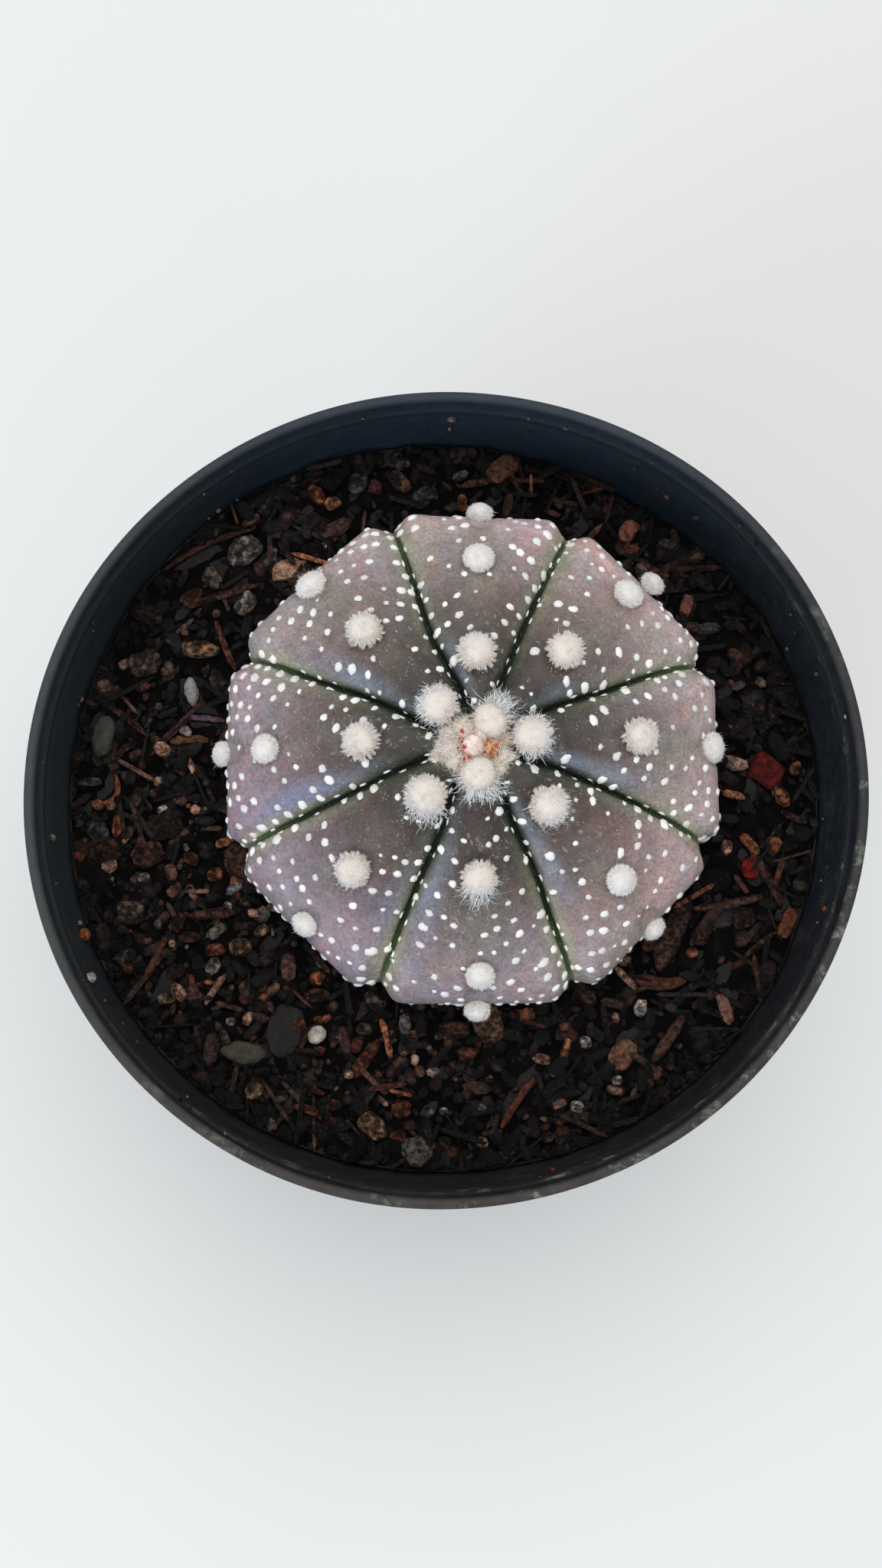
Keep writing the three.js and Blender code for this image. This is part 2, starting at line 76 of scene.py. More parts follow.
# woolly areoles: distance from the crown in plan, polar angle, radius, kind
# kind: 0 youngest by the crown, 1 spiky and cream, 2 smooth and cottony
AREOLES = [
    (6.64, 11.0, 2.25, 1), (19.67, 4.4, 2.05, 1), (29.29, 1.8, 1.75, 2),
    (15.79, 47.8, 2.15, 1), (27.17, 46.1, 1.8, 2), (31.2, 44.2, 1.4, 2),
    (3.54, 60.7, 2.3, 0), (11.4, 90.2, 2.2, 1), (23.57, 89.0, 1.82, 2), (30.4, 88.4, 1.5, 2),
    (6.7, 133.4, 2.2, 1), (19.56, 133.4, 2.05, 1), (28.85, 134.0, 1.92, 2),
    (3.27, 186.9, 1.5, 0), (13.82, 177.4, 2.1, 1), (25.3, 179.8, 1.66, 2), (30.7, 179.5, 1.38, 2),
    (8.48, 223.7, 2.35, 1), (20.6, 224.7, 2.0, 1), (29.1, 225.4, 1.5, 2),
    (3.48, 271.4, 2.3, 0), (15.5, 271.0, 2.0, 1), (26.9, 271.2, 1.63, 2), (30.9, 270.8, 1.42, 2),
    (10.97, 320.6, 2.25, 1), (23.3, 317.9, 1.78, 2), (30.4, 316.4, 1.36, 2)]

# streaks of painted sheen, a cool lavender reflection beside the grooves: rib, flank, distance from the crown, half
# length, strength
SHEEN_STREAKS = [(2, 1, 9.5, 4.5, 1.0), (3, 1, 15.5, 6.5, 0.95), (4, 1, 20, 7.5, 0.95), (6, -1, 17, 8, 0.8), (7, -1, 14, 7, 0.9),
         (0, -1, 13, 8.5, 0.85), (1, -1, 11, 5, 0.6), (5, 1, 20, 7, 0.35), (0, 1, 22, 5, 0.2), (3, -1, 24, 4, 0.2)]

rng = np.random.default_rng(7331)


# ------------------------------------------------------------------ helpers
def smooth(a, b, x):
    t = np.clip((x - a) / (b - a), 0, 1)
    return t * t * (3 - 2 * t)


def lin(*c):
    """sRGB 0-255 to linear"""
    c = np.array(c, float) / 255
    return np.where(c <= 0.04045, c / 12.92, ((c + 0.055) / 1.055) ** 2.4)


def _hash(ix, iy, iz, seed):
    h = (ix.astype(np.uint32) * np.uint32(0x9E3779B1)) ^ (iy.astype(np.uint32) * np.uint32(0x85EBCA77))
    h = h ^ (iz.astype(np.uint32) * np.uint32(0xC2B2AE3D)) ^ np.uint32((seed * 0x27D4EB2F) & 0xFFFFFFFF)
    h = (h ^ (h >> np.uint32(15))) * np.uint32(0x2C1B3C6D)
    h = (h ^ (h >> np.uint32(12))) * np.uint32(0x297A2D39)
    h = h ^ (h >> np.uint32(15))
    return h.astype(np.float64) / 4294967295.0


def vnoise(p, seed=0):
    p = np.asarray(p, float)
    i = np.floor(p).astype(np.int64)
    f = p - i
    u = f * f * (3 - 2 * f)
    out = np.zeros(p.shape[:-1])
    for dx in (0, 1):
        wx = u[..., 0] if dx else 1 - u[..., 0]
        for dy in (0, 1):
            wy = u[..., 1] if dy else 1 - u[..., 1]
            for dz in (0, 1):
                wz = u[..., 2] if dz else 1 - u[..., 2]
                out += wx * wy * wz * _hash(i[..., 0] + dx, i[..., 1] + dy, i[..., 2] + dz, seed)
    return out * 2 - 1


def fbm(p, seed=0, octaves=4, gain=0.5, lac=2.07):
    p = np.asarray(p, float)
    out, amp, tot = 0.0, 1.0, 0.0
    for k in range(octaves):
        out = out + amp * vnoise(p * lac ** k + 17.3 * k, seed + 31 * k)
        tot += amp
        amp *= gain
    return out / tot


def make_mesh(name, verts, faces, mat, smooth_shade=True, tint=None, floats=None, body="root", replaces=()):
    """verts in mm; faces: list of integer arrays, each (n, k)"""
    me = bpy.data.meshes.new(name)
    v = (np.asarray(verts, float).reshape(-1, 3) * MM).astype(np.float32)
    me.vertices.add(len(v))
    me.vertices.foreach_set("co", v.ravel())
    faces = [np.asarray(f, np.int32) for f in faces if len(f)]
    loops = np.concatenate([f.ravel() for f in faces])
    totals = np.concatenate([np.full(len(f), f.shape[1]) for f in faces])
    starts = np.concatenate([[0], np.cumsum(totals)[:-1]]).astype(np.int32)
    me.loops.add(len(loops))
    me.loops.foreach_set("vertex_index", loops)
    me.polygons.add(len(starts))
    me.polygons.foreach_set("loop_start", starts)
    me.update(calc_edges=True)
    me.validate()
    me.polygons.foreach_set("use_smooth", np.full(len(me.polygons), bool(smooth_shade)))
    if tint is not None:
        c = np.ones((len(v), 4), np.float32)
        c[:, :3] = np.clip(tint, 0, 1)
        a = me.attributes.new("tint", "FLOAT_COLOR", "POINT")
        a.data.foreach_set("color", c.ravel())
    for k, val in (floats or {}).items():
        a = me.attributes.new(k, "FLOAT", "POINT")
        a.data.foreach_set("value", np.asarray(val, np.float32))
    me.materials.append(mat)
    o = bpy.data.objects.new(name, me)
    bpy.context.scene.collection.objects.link(o)
    if body:
        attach(o, body)
    if replaces:
        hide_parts(*replaces)
    return o


def grid_faces(nu, nv, wrap_u=True, start=0):
    """quads of a grid whose vertex (i ring, j around) is start + i * nu + j"""
    j = np.arange(nu if wrap_u else nu - 1)
    i = np.arange(nv - 1)
    jj, ii = np.meshgrid(j, i)
    a = start + ii * nu + jj
    b = start + ii * nu + (jj + 1) % nu
    c = start + (ii + 1) * nu + (jj + 1) % nu
    d = start + (ii + 1) * nu + jj
    return np.stack([a, d, c, b], -1).reshape(-1, 4)


def oval(z, a):
    return 1 + OVALITY * np.clip(z / POT_HEIGHT, 0, 1.1) ** 1.5 * np.cos(2 * (a - OVAL_ANGLE))


def outer_radius(z):
    drop = POT_HEIGHT - z
    top = LIP_RADIUS - 0.075 * COLLAR_HEIGHT - COLLAR_STEP
    low = FOOT_RADIUS + (top - FOOT_RADIUS) * (z / (POT_HEIGHT - COLLAR_HEIGHT))
    return np.where(drop < COLLAR_HEIGHT, LIP_RADIUS - 0.075 * drop, low)


def inner_radius(z):
    drop = POT_HEIGHT - np.asarray(z, float)
    top = LIP_RADIUS - LIP_WALL
    return np.where(drop < LEDGE_DROP, top - 0.03 * drop,
                    np.where(drop < COLLAR_HEIGHT + 1, top - 0.1 - LEDGE_STEP - INNER_TAPER * (drop - LEDGE_DROP),
                             outer_radius(z) - WALL))


def mix_top(x, y):
    r = np.hypot(x, y)
    a = (np.degrees(np.arctan2(y, x)) % 360) / 30
    i = np.floor(a).astype(int)
    f = a - i
    w = f * f * (3 - 2 * f)
    wall = MIX_LEVELS[i % 12] * (1 - w) + MIX_LEVELS[(i + 1) % 12] * w
    level = MIX_DEPTH + (wall - MIX_DEPTH) * smooth(25, 46, r)
    bumps = 0.35 * np.sin(x * 0.71 + 1.3) * np.cos(y * 0.63 - 0.4) + 0.25 * np.sin(x * 1.37 - y * 1.11 + 2.0)
    return POT_HEIGHT - level + bumps


# ---------------------------------------------------------------- materials
def new_mat(name):
    m = bpy.data.materials.new(name)
    m.use_nodes = True
    nt = m.node_tree
    nt.nodes.clear()
    out = nt.nodes.new("ShaderNodeOutputMaterial")
    b = nt.nodes.new("ShaderNodeBsdfPrincipled")
    nt.links.new(b.outputs[0], out.inputs[0])
    return m, nt, b


def node(nt, kind, **props):
    n = nt.nodes.new(kind)
    for k, v in props.items():
        if k in n.inputs:
            n.inputs[k].default_value = v
        else:
            setattr(n, k, v)
    return n


def coords(nt):
    return node(nt, "ShaderNodeTexCoord").outputs["Object"]


def noise(nt, vec, scale, detail=4.0, rough=0.55, distortion=0.0):
    n = node(nt, "ShaderNodeTexNoise")
    n.inputs["Scale"].default_value = scale
    n.inputs["Detail"].default_value = detail
    n.inputs["Roughness"].default_value = rough
    n.inputs["Distortion"].default_value = distortion
    nt.links.new(vec, n.inputs["Vector"])
    return n.outputs[0]


def ramp(nt, fac, stops):
    n = node(nt, "ShaderNodeValToRGB")
    el = n.color_ramp.elements
    while len(el) > 1:
        el.remove(el[-1])
    for k, (p, c) in enumerate(stops):
        e = el[0] if k == 0 else el.new(p)
        e.position = p
        c = (c, c, c) if np.isscalar(c) else tuple(c)
        e.color = (*c, 1)
    nt.links.new(fac, n.inputs[0])
    return n.outputs[0]


def mix(nt, fac, a, b, mode="MIX"):
    n = node(nt, "ShaderNodeMix")
    n.data_type = "RGBA"
    n.blend_type = mode
    for sock, v in ((n.inputs[0], fac), (n.inputs[6], a), (n.inputs[7], b)):
        if isinstance(v, (int, float)):
            sock.default_value = v if sock == n.inputs[0] else (v, v, v, 1)
        elif isinstance(v, (tuple, list, np.ndarray)):
            sock.default_value = (*v[:3], 1)
        else:
            nt.links.new(v, sock)
    return n.outputs[2]


def mathn(nt, op, a, b=None, c=None, clamp=False):
    n = node(nt, "ShaderNodeMath")
    n.operation = op
    n.use_clamp = clamp
    for k, v in enumerate((a, b, c)):
        if v is None:
            continue
        if isinstance(v, (int, float)):
            n.inputs[k].default_value = v
        else:
            nt.links.new(v, n.inputs[k])
    return n.outputs[0]


def bump(nt, height, strength, distance, normal=None):
    n = node(nt, "ShaderNodeBump")
    n.inputs["Strength"].default_value = strength
    n.inputs["Distance"].default_value = distance
    nt.links.new(height, n.inputs["Height"])
    if normal is not None:
        nt.links.new(normal, n.inputs["Normal"])
    return n.outputs[0]


def tinted(name, scale, amount, rough, bump_mm=0.1, bump_scale=None, spec=0.4, sheen=0.0, stretch=None, sss=0.0, rough_var=0.1):
    """a material that takes its main colour from the mesh's tint and adds grain and bump"""
    m, nt, b = new_mat(name)
    at = node(nt, "ShaderNodeAttribute", attribute_name="tint")
    vec = coords(nt)
    if stretch:
        mp = node(nt, "ShaderNodeMapping")
        mp.inputs["Scale"].default_value = stretch
        nt.links.new(vec, mp.inputs[0])
        vec = mp.outputs[0]
    n1 = noise(nt, vec, scale, 5.0, 0.6)
    n2 = noise(nt, vec, scale * 3.7, 3.0, 0.6)
    grain = ramp(nt, n1, [(0.25, 1 - amount), (0.75, 1 + amount * 0.6 if 1 + amount * 0.6 <= 1 else 1.0)])
    col = mix(nt, 1.0, at.outputs["Color"], grain, "MULTIPLY")
    fine = ramp(nt, n2, [(0.3, 1 - amount * 0.6), (0.7, 1.0)])
    col = mix(nt, 1.0, col, fine, "MULTIPLY")
    nt.links.new(col, b.inputs["Base Color"])
    r = ramp(nt, n1, [(0.2, max(0.05, rough - rough_var)), (0.8, min(1, rough + rough_var))])
    nt.links.new(r, b.inputs["Roughness"])
    b.inputs["Specular IOR Level"].default_value = spec
    if sheen:
        b.inputs["Sheen Weight"].default_value = sheen
        b.inputs["Sheen Roughness"].default_value = 0.5
    if sss:
        b.inputs["Subsurface Weight"].default_value = sss
        b.inputs["Subsurface Radius"].default_value = (0.0012, 0.0008, 0.0006)
        b.inputs["Subsurface Scale"].default_value = 1.0
    if bump_mm:
        h = noise(nt, vec, bump_scale or scale * 2, 6.0, 0.65)
        nt.links.new(bump(nt, h, 0.9, bump_mm * MM), b.inputs["Normal"])
    return m


def earthy(name, scale, dark, rough, spec, stretch=None):
    """damp organic matter: the mesh tint broken up by dark pits, painted glints and a warm cast"""
    m, nt, b = new_mat(name)
    at = node(nt, "ShaderNodeAttribute", attribute_name="tint")
    vec = coords(nt)
    if stretch:
        mp = node(nt, "ShaderNodeMapping")
        mp.inputs["Scale"].default_value = stretch
        nt.links.new(vec, mp.inputs[0])
        vec = mp.outputs[0]
    n1 = noise(nt, vec, scale, 6.0, 0.68, 0.4)
    pits = ramp(nt, n1, [(0.36, dark * 0.35), (0.47, dark), (0.56, 0.8), (0.66, 1.0)])
    col = mix(nt, 1.0, at.outputs["Color"], pits, "MULTIPLY")
    warm = ramp(nt, noise(nt, vec, scale * 0.45, 4.0, 0.6), [(0.38, (0.78, 0.86, 0.95)), (0.62, (1.0, 0.86, 0.74))])
    col = mix(nt, 1.0, col, warm, "MULTIPLY")
    # painted highlights: pale glints in scattered specks
    glint = ramp(nt, noise(nt, vec, scale * 2.3, 3.0, 0.6), [(0.64, 0.0), (0.76, 0.45)])
    col = mix(nt, glint, col, tuple(lin(132, 112, 100)))
    nt.links.new(col, b.inputs["Base Color"])
    nt.links.new(ramp(nt, n1, [(0.3, min(1, rough + 0.2)), (0.7, rough - 0.15)]), b.inputs["Roughness"])
    b.inputs["Specular IOR Level"].default_value = spec
    h = noise(nt, vec, scale * 1.5, 6.0, 0.68)
    nt.links.new(bump(nt, h, 1.0, 0.0006), b.inputs["Normal"])
    return m


def skin_material():
    m, nt, b = new_mat("cactus_skin_mat")
    at = node(nt, "ShaderNodeAttribute", attribute_name="tint")
    vec = coords(nt)
    blotch = noise(nt, vec, 260, 5, 0.6)
    speck = noise(nt, vec, 2600, 3, 0.6)
    pore = node(nt, "ShaderNodeTexVoronoi")
    pore.inputs["Scale"].default_value = 2500
    nt.links.new(vec, pore.inputs["Vector"])
    col = mix(nt, 1.0, at.outputs["Color"], ramp(nt, blotch, [(0.3, (0.86, 0.87, 0.88)), (0.7, (1.0, 0.985, 0.975))]), "MULTIPLY")
    col = mix(nt, 1.0, col, ramp(nt, speck, [(0.34, 0.66), (0.62, 1.0)]), "MULTIPLY")
    # pale pin-prick pores
    dot = ramp(nt, pore.outputs["Distance"], [(0.08, 1.0), (0.27, 0.0)])
    gate = ramp(nt, noise(nt, vec, 700, 3, 0.6), [(0.48, 0.0), (0.68, 0.7)])
    f = mathn(nt, "MULTIPLY", dot, gate)
    col = mix(nt, f, col, tuple(lin(205, 198, 188)))
    nt.links.new(col, b.inputs["Base Color"])
    nt.links.new(ramp(nt, speck, [(0.3, 0.36), (0.7, 0.52)]), b.inputs["Roughness"])
    b.inputs["Specular IOR Level"].default_value = 0.32
    b.inputs["Subsurface Weight"].default_value = 0.06
    b.inputs["Subsurface Radius"].default_value = (0.0012, 0.0007, 0.0005)
    b.inputs["Sheen Weight"].default_value = 0.04
    b.inputs["Sheen Roughness"].default_value = 0.45
    b.inputs["Sheen Tint"].default_value = (0.75, 0.8, 1.0, 1)
    n1 = bump(nt, noise(nt, vec, 1500, 5, 0.6), 0.7, 0.00013)
    n2 = bump(nt, pore.outputs["Distance"], 0.35, 0.00005, n1)
    nt.links.new(n2, b.inputs["Normal"])
    return m


def pot_material():
    m, nt, b = new_mat("pot_plastic_mat")
    vec = coords(nt)
    sep = node(nt, "ShaderNodeSeparateXYZ")
    nt.links.new(vec, sep.inputs[0])
    z = sep.outputs["Z"]
    base = ramp(nt, noise(nt, vec, 90, 5, 0.6), [(0.3, lin(13, 19, 25)), (0.7, lin(19, 27, 34))])
    # painted sky sheen on the wall: bluer at the back, greyer at the left, neutral at the front
    for axis, gain, start, tone in (("Y", 40.0, 1.0, lin(24, 41, 55)), ("X", -40.0, 1.0, lin(38, 46, 50)), ("Y", -28.0, 0.3, lin(27, 27, 26))):
        near = mathn(nt, "SUBTRACT", mathn(nt, "MULTIPLY", sep.outputs[axis], gain), start, clamp=True)
        base = mix(nt, mathn(nt, "MULTIPLY", near, 0.85), base, tuple(tone))
    # outside, below the lip, the wall is a plain even black
    facing = node(nt, "ShaderNodeSeparateXYZ")
    nt.links.new(node(nt, "ShaderNodeTexCoord").outputs["Normal"], facing.inputs[0])
    outward = mathn(nt, "ADD", mathn(nt, "MULTIPLY", facing.outputs["X"], sep.outputs["X"]),
                    mathn(nt, "MULTIPLY", facing.outputs["Y"], sep.outputs["Y"]))
    outward = mathn(nt, "MULTIPLY", outward, 60.0, clamp=True)
    below = mathn(nt, "MULTIPLY", mathn(nt, "SUBTRACT", 0.0772, z), 4000.0, clamp=True)
    base = mix(nt, mathn(nt, "MULTIPLY", mathn(nt, "MULTIPLY", outward, below), 0.9), base, tuple(lin(25, 26, 27)))
    # fine scuffs running round the wall
    mp = node(nt, "ShaderNodeMapping")
    mp.inputs["Scale"].default_value = (1, 1, 9)
    nt.links.new(vec, mp.inputs[0])
    scuff = ramp(nt, noise(nt, mp.outputs[0], 420, 6, 0.7), [(0.60, 0.0), (0.78, 1.0)])
    col = mix(nt, mathn(nt, "MULTIPLY", scuff, 0.14), base, tuple(lin(64, 66, 68)))
    # dust: thin all over, thick on the lip
    dusty = ramp(nt, noise(nt, vec, 700, 6, 0.7), [(0.42, 0.0), (0.72, 1.0)])
    col = mix(nt, mathn(nt, "MULTIPLY", dusty, 0.07), col, tuple(lin(104, 92, 82)))
    lip = node(nt, "ShaderNodeMapRange")
    lip.inputs["From Min"].default_value = 0.0790
    lip.inputs["From Max"].default_value = 0.0798
    nt.links.new(z, lip.inputs["Value"])
    front = mathn(nt, "ADD", mathn(nt, "MULTIPLY", sep.outputs["Y"], -11.0), 0.55, clamp=True)
    lipn = ramp(nt, noise(nt, vec, 380, 6, 0.7), [(0.30, 0.18), (0.70, 0.55)])
    lipn = mathn(nt, "MULTIPLY", lipn, mathn(nt, "ADD", mathn(nt, "MULTIPLY", front, 0.25), 0.30))
    col = mix(nt, mathn(nt, "MULTIPLY", lip.outputs[0], lipn, clamp=True), col, tuple(lin(88, 80, 74)))
    # whitish mineral deposit along the small ledge, stronger towards the right and front
    d = mathn(nt, "ABSOLUTE", mathn(nt, "SUBTRACT", z, 0.0762))
    band = node(nt, "ShaderNodeMapRange")
    band.inputs["From Min"].default_value = 0.0014
    band.inputs["From Max"].default_value = 0.0001
    nt.links.new(d, band.inputs["Value"])
    side = mathn(nt, "ADD", mathn(nt, "MULTIPLY", sep.outputs["X"], 11.0), mathn(nt, "MULTIPLY", sep.outputs["Y"], -13.0))
    side = mathn(nt, "ADD", side, 0.12, clamp=True)
    mp2 = node(nt, "ShaderNodeMapping")
    mp2.inputs["Scale"].default_value = (1, 1, 3)
    nt.links.new(vec, mp2.inputs[0])
    streak = ramp(nt, noise(nt, mp2.outputs[0], 230, 8, 0.72), [(0.54, 0.0), (0.66, 1.0)])
    # painted shade: the corner of the ledge is darkened to dim the light it catches, where there is no deposit
    thin = node(nt, "ShaderNodeMapRange")
    thin.inputs["From Min"].default_value = 0.0006
    thin.inputs["From Max"].default_value = 0.0003
    nt.links.new(d, thin.inputs["Value"])
    col = mix(nt, mathn(nt, "MULTIPLY", thin.outputs[0], 0.75), col, tuple(lin(7, 8, 9)))
    f = mathn(nt, "MULTIPLY", mathn(nt, "MULTIPLY", band.outputs[0], streak), side, clamp=True)
    col = mix(nt, mathn(nt, "MULTIPLY", f, 0.40), col, tuple(lin(158, 162, 154)))
    # and in patches on the lip itself
    patch = ramp(nt, noise(nt, vec, 210, 7, 0.72), [(0.54, 0.0), (0.66, 0.55)])
    patch = mathn(nt, "MULTIPLY", mathn(nt, "MULTIPLY", patch, lip.outputs[0]), side, clamp=True)
    col = mix(nt, patch, col, tuple(lin(164, 168, 152)))
    # dried water film on the wall under the ledge
    film = ramp(nt, noise(nt, vec, 120, 7, 0.7), [(0.55, 0.0), (0.75, 0.16)])
    col = mix(nt, mathn(nt, "MULTIPLY", film, side), col, tuple(lin(120, 124, 126)))
    nt.links.new(col, b.inputs["Base Color"])
    rr = ramp(nt, noise(nt, vec, 300, 4, 0.6), [(0.3, 0.48), (0.7, 0.64)])
    rr = mix(nt, lip.outputs[0], rr, 0.7)
    nt.links.new(mix(nt, thin.outputs[0], rr, 0.95), b.inputs["Roughness"])
    b.inputs["Specular IOR Level"].default_value = 0.30
    h = noise(nt, vec, 1400, 4, 0.6)
    n1 = bump(nt, h, 0.35, 0.00006)
    n2 = bump(nt, noise(nt, vec, 60, 3, 0.5), 0.5, 0.0004, n1)
    nt.links.new(n2, b.inputs["Normal"])
    return m


M_SKIN = skin_material()
M_POT = pot_material()
M_FLECK = tinted("fleck_wool_mat", 4200, 0.22, 0.9, bump_mm=0.06, bump_scale=6500, spec=0.2, sheen=0.3)
M_WOOL = tinted("areole_wool_mat", 4200, 0.06, 0.92, bump_mm=0.10, bump_scale=5200, spec=0.15, sheen=0.4, sss=0.15)
M_HAIR = tinted("wool_hair_mat", 900, 0.03, 0.7, bump_mm=0, spec=0.3, sheen=0.25)
M_SOIL = tinted("mix_ground_mat", 900, 0.45, 0.95, bump_mm=0.5, bump_scale=1100, spec=0.06)
M_CRUMB = earthy("mix_crumb_mat", 1700, 0.36, 0.72, 0.20)
M_BARK = earthy("bark_chip_mat", 1450, 0.30, 0.66, 0.24)
M_CHIP = earthy("named_chip_mat", 1250, 0.42, 0.75, 0.20)
M_LUMP = earthy("ashy_lump_mat", 1500, 0.27, 0.85, 0.13)
M_STONE = tinted("stone_mat", 900, 0.55, 0.8, bump_mm=0.3, bump_scale=1500, spec=0.2)


# ----------------------------------------------------------------- the plant
def skin(rib, s, phi, detail=False):
    """point of the skin in mm, and the facts the colours use"""
    rib, s, phi = np.broadcast_arrays(np.asarray(rib), np.asarray(s, float), np.asarray(phi, float))
    power = 2 / PROFILE_POWER
    sp = np.clip(np.sin(phi), 0, 1) ** power
    c = np.cos(phi)
    cp = np.sign(c) * np.abs(c) ** power
    tall = np.where(cp > 0, CROWN_RISE, BASE_DROP)
    r = PLANT_RADIUS * sp
    z = tall * cp
    nr, nz = sp / PLANT_RADIUS, cp / tall
    ln = np.hypot(nr, nz)
    g = np.stack([np.interp(r, GROOVE_R, gg) for gg in GROOVES])
    hi = np.take_along_axis(g, rib[None], 0)[0]
    lo = np.take_along_axis(g, ((rib + 7) % 8)[None], 0)[0] - np.where(rib == 0, 360, 0)
    mid, half = (lo + hi) / 2, (hi - lo) / 2
    ang = np.radians(mid + s * half)
    hr = np.radians(half)
    fade = smooth(2.0, 9.0, r)
    away = (1 - np.abs(s)) * hr * r
    dome = -RIB_DROP * fade * np.abs(s) ** 2.6 - CREASE * fade * np.exp(-(away / 0.55) ** 2)
    delta = np.abs(s) * math.radians(22.5)
    flat = PLANT_RADIUS * (1 / np.cos(delta) - 1) - NOTCH * np.exp(-(away / 1.75) ** 2)
    side = smooth(0.72, 0.98, r / PLANT_RADIUS)
    out = dome * (1 - side) + flat * side
    z = z - np.where(phi < math.pi / 2, 0.9 * np.exp(-(r / 3.2) ** 2), 0)
    x0, y0 = r * np.cos(ang), r * np.sin(ang)
    near = np.full(r.shape, 99.0)
    if detail:
        out = out - 0.30 * fade * np.exp(-(away / 0.24) ** 2)
        q = np.stack([x0, y0, z], -1)
        out = out + 0.16 * fbm(q / 4.2, 3, 3) * fade + 0.05 * fbm(q / 1.3, 5, 2) * fade
    for ar, aa, pr, kind in AREOLES:
        ca, sa = math.cos(math.radians(aa)), math.sin(math.radians(aa))
        d = np.hypot(x0 - min(ar, 29.6) * ca, y0 - min(ar, 29.6) * sa)
        d = np.where(phi > 1.75, 99, d)
        near = np.minimum(near, d / pr)
        if detail:
            out = out - 0.35 * np.exp(-(d / (pr * 1.05)) ** 2) + 0.10 * np.exp(-((d - 1.6 * pr) / 0.8) ** 2)
    rr = r + out * nr / ln
    zz = z + out * nz / ln
    p = np.stack([PLANT[0] + rr * np.cos(ang), PLANT[1] + rr * np.sin(ang), PLANT[2] + zz], -1)
    return p, dict(r=r, away=away, mid=np.abs(s) * hr * r, s=s, near=near, ang=ang, phi=phi, side=side)


def frame_at(rib, s, phi):
    """point, outward normal, unit vector across the rib and unit vector down from the crown"""
    e = 0.004
    p = skin(rib, s, phi, True)[0]
    down = skin(rib, s, phi + e, True)[0] - skin(rib, s, phi - e, True)[0]
    across = skin(rib, s + 0.02, phi, True)[0] - skin(rib, s - 0.02, phi, True)[0]
    n = np.cross(down, across)
    n /= np.linalg.norm(n, axis=-1, keepdims=True)
    down /= np.linalg.norm(down, axis=-1, keepdims=True)
    across = np.cross(n, down)
    return p, n, across, down


def locate(ar, aa):
    """rib, position across it, and profile angle for a plan distance and polar angle in degrees"""
    ar, aa = np.asarray(ar, float), np.asarray(aa, float) % 360
    phi = np.arcsin(np.minimum(ar / PLANT_RADIUS, 0.999) ** (PROFILE_POWER / 2))
    g = np.stack([np.interp(ar, GROOVE_R, gg) for gg in GROOVES])
    rib = (aa[None] >= g).sum(0) % 8
    a = np.where((rib == 0) & (aa > 180), aa - 360, aa)
    hi = np.take_along_axis(g, rib[None], 0)[0]
    lo = np.take_along_axis(g, ((rib + 7) % 8)[None], 0)[0] - np.where(rib == 0, 360, 0)
    return rib, (a - (lo + hi) / 2) / ((hi - lo) / 2), phi


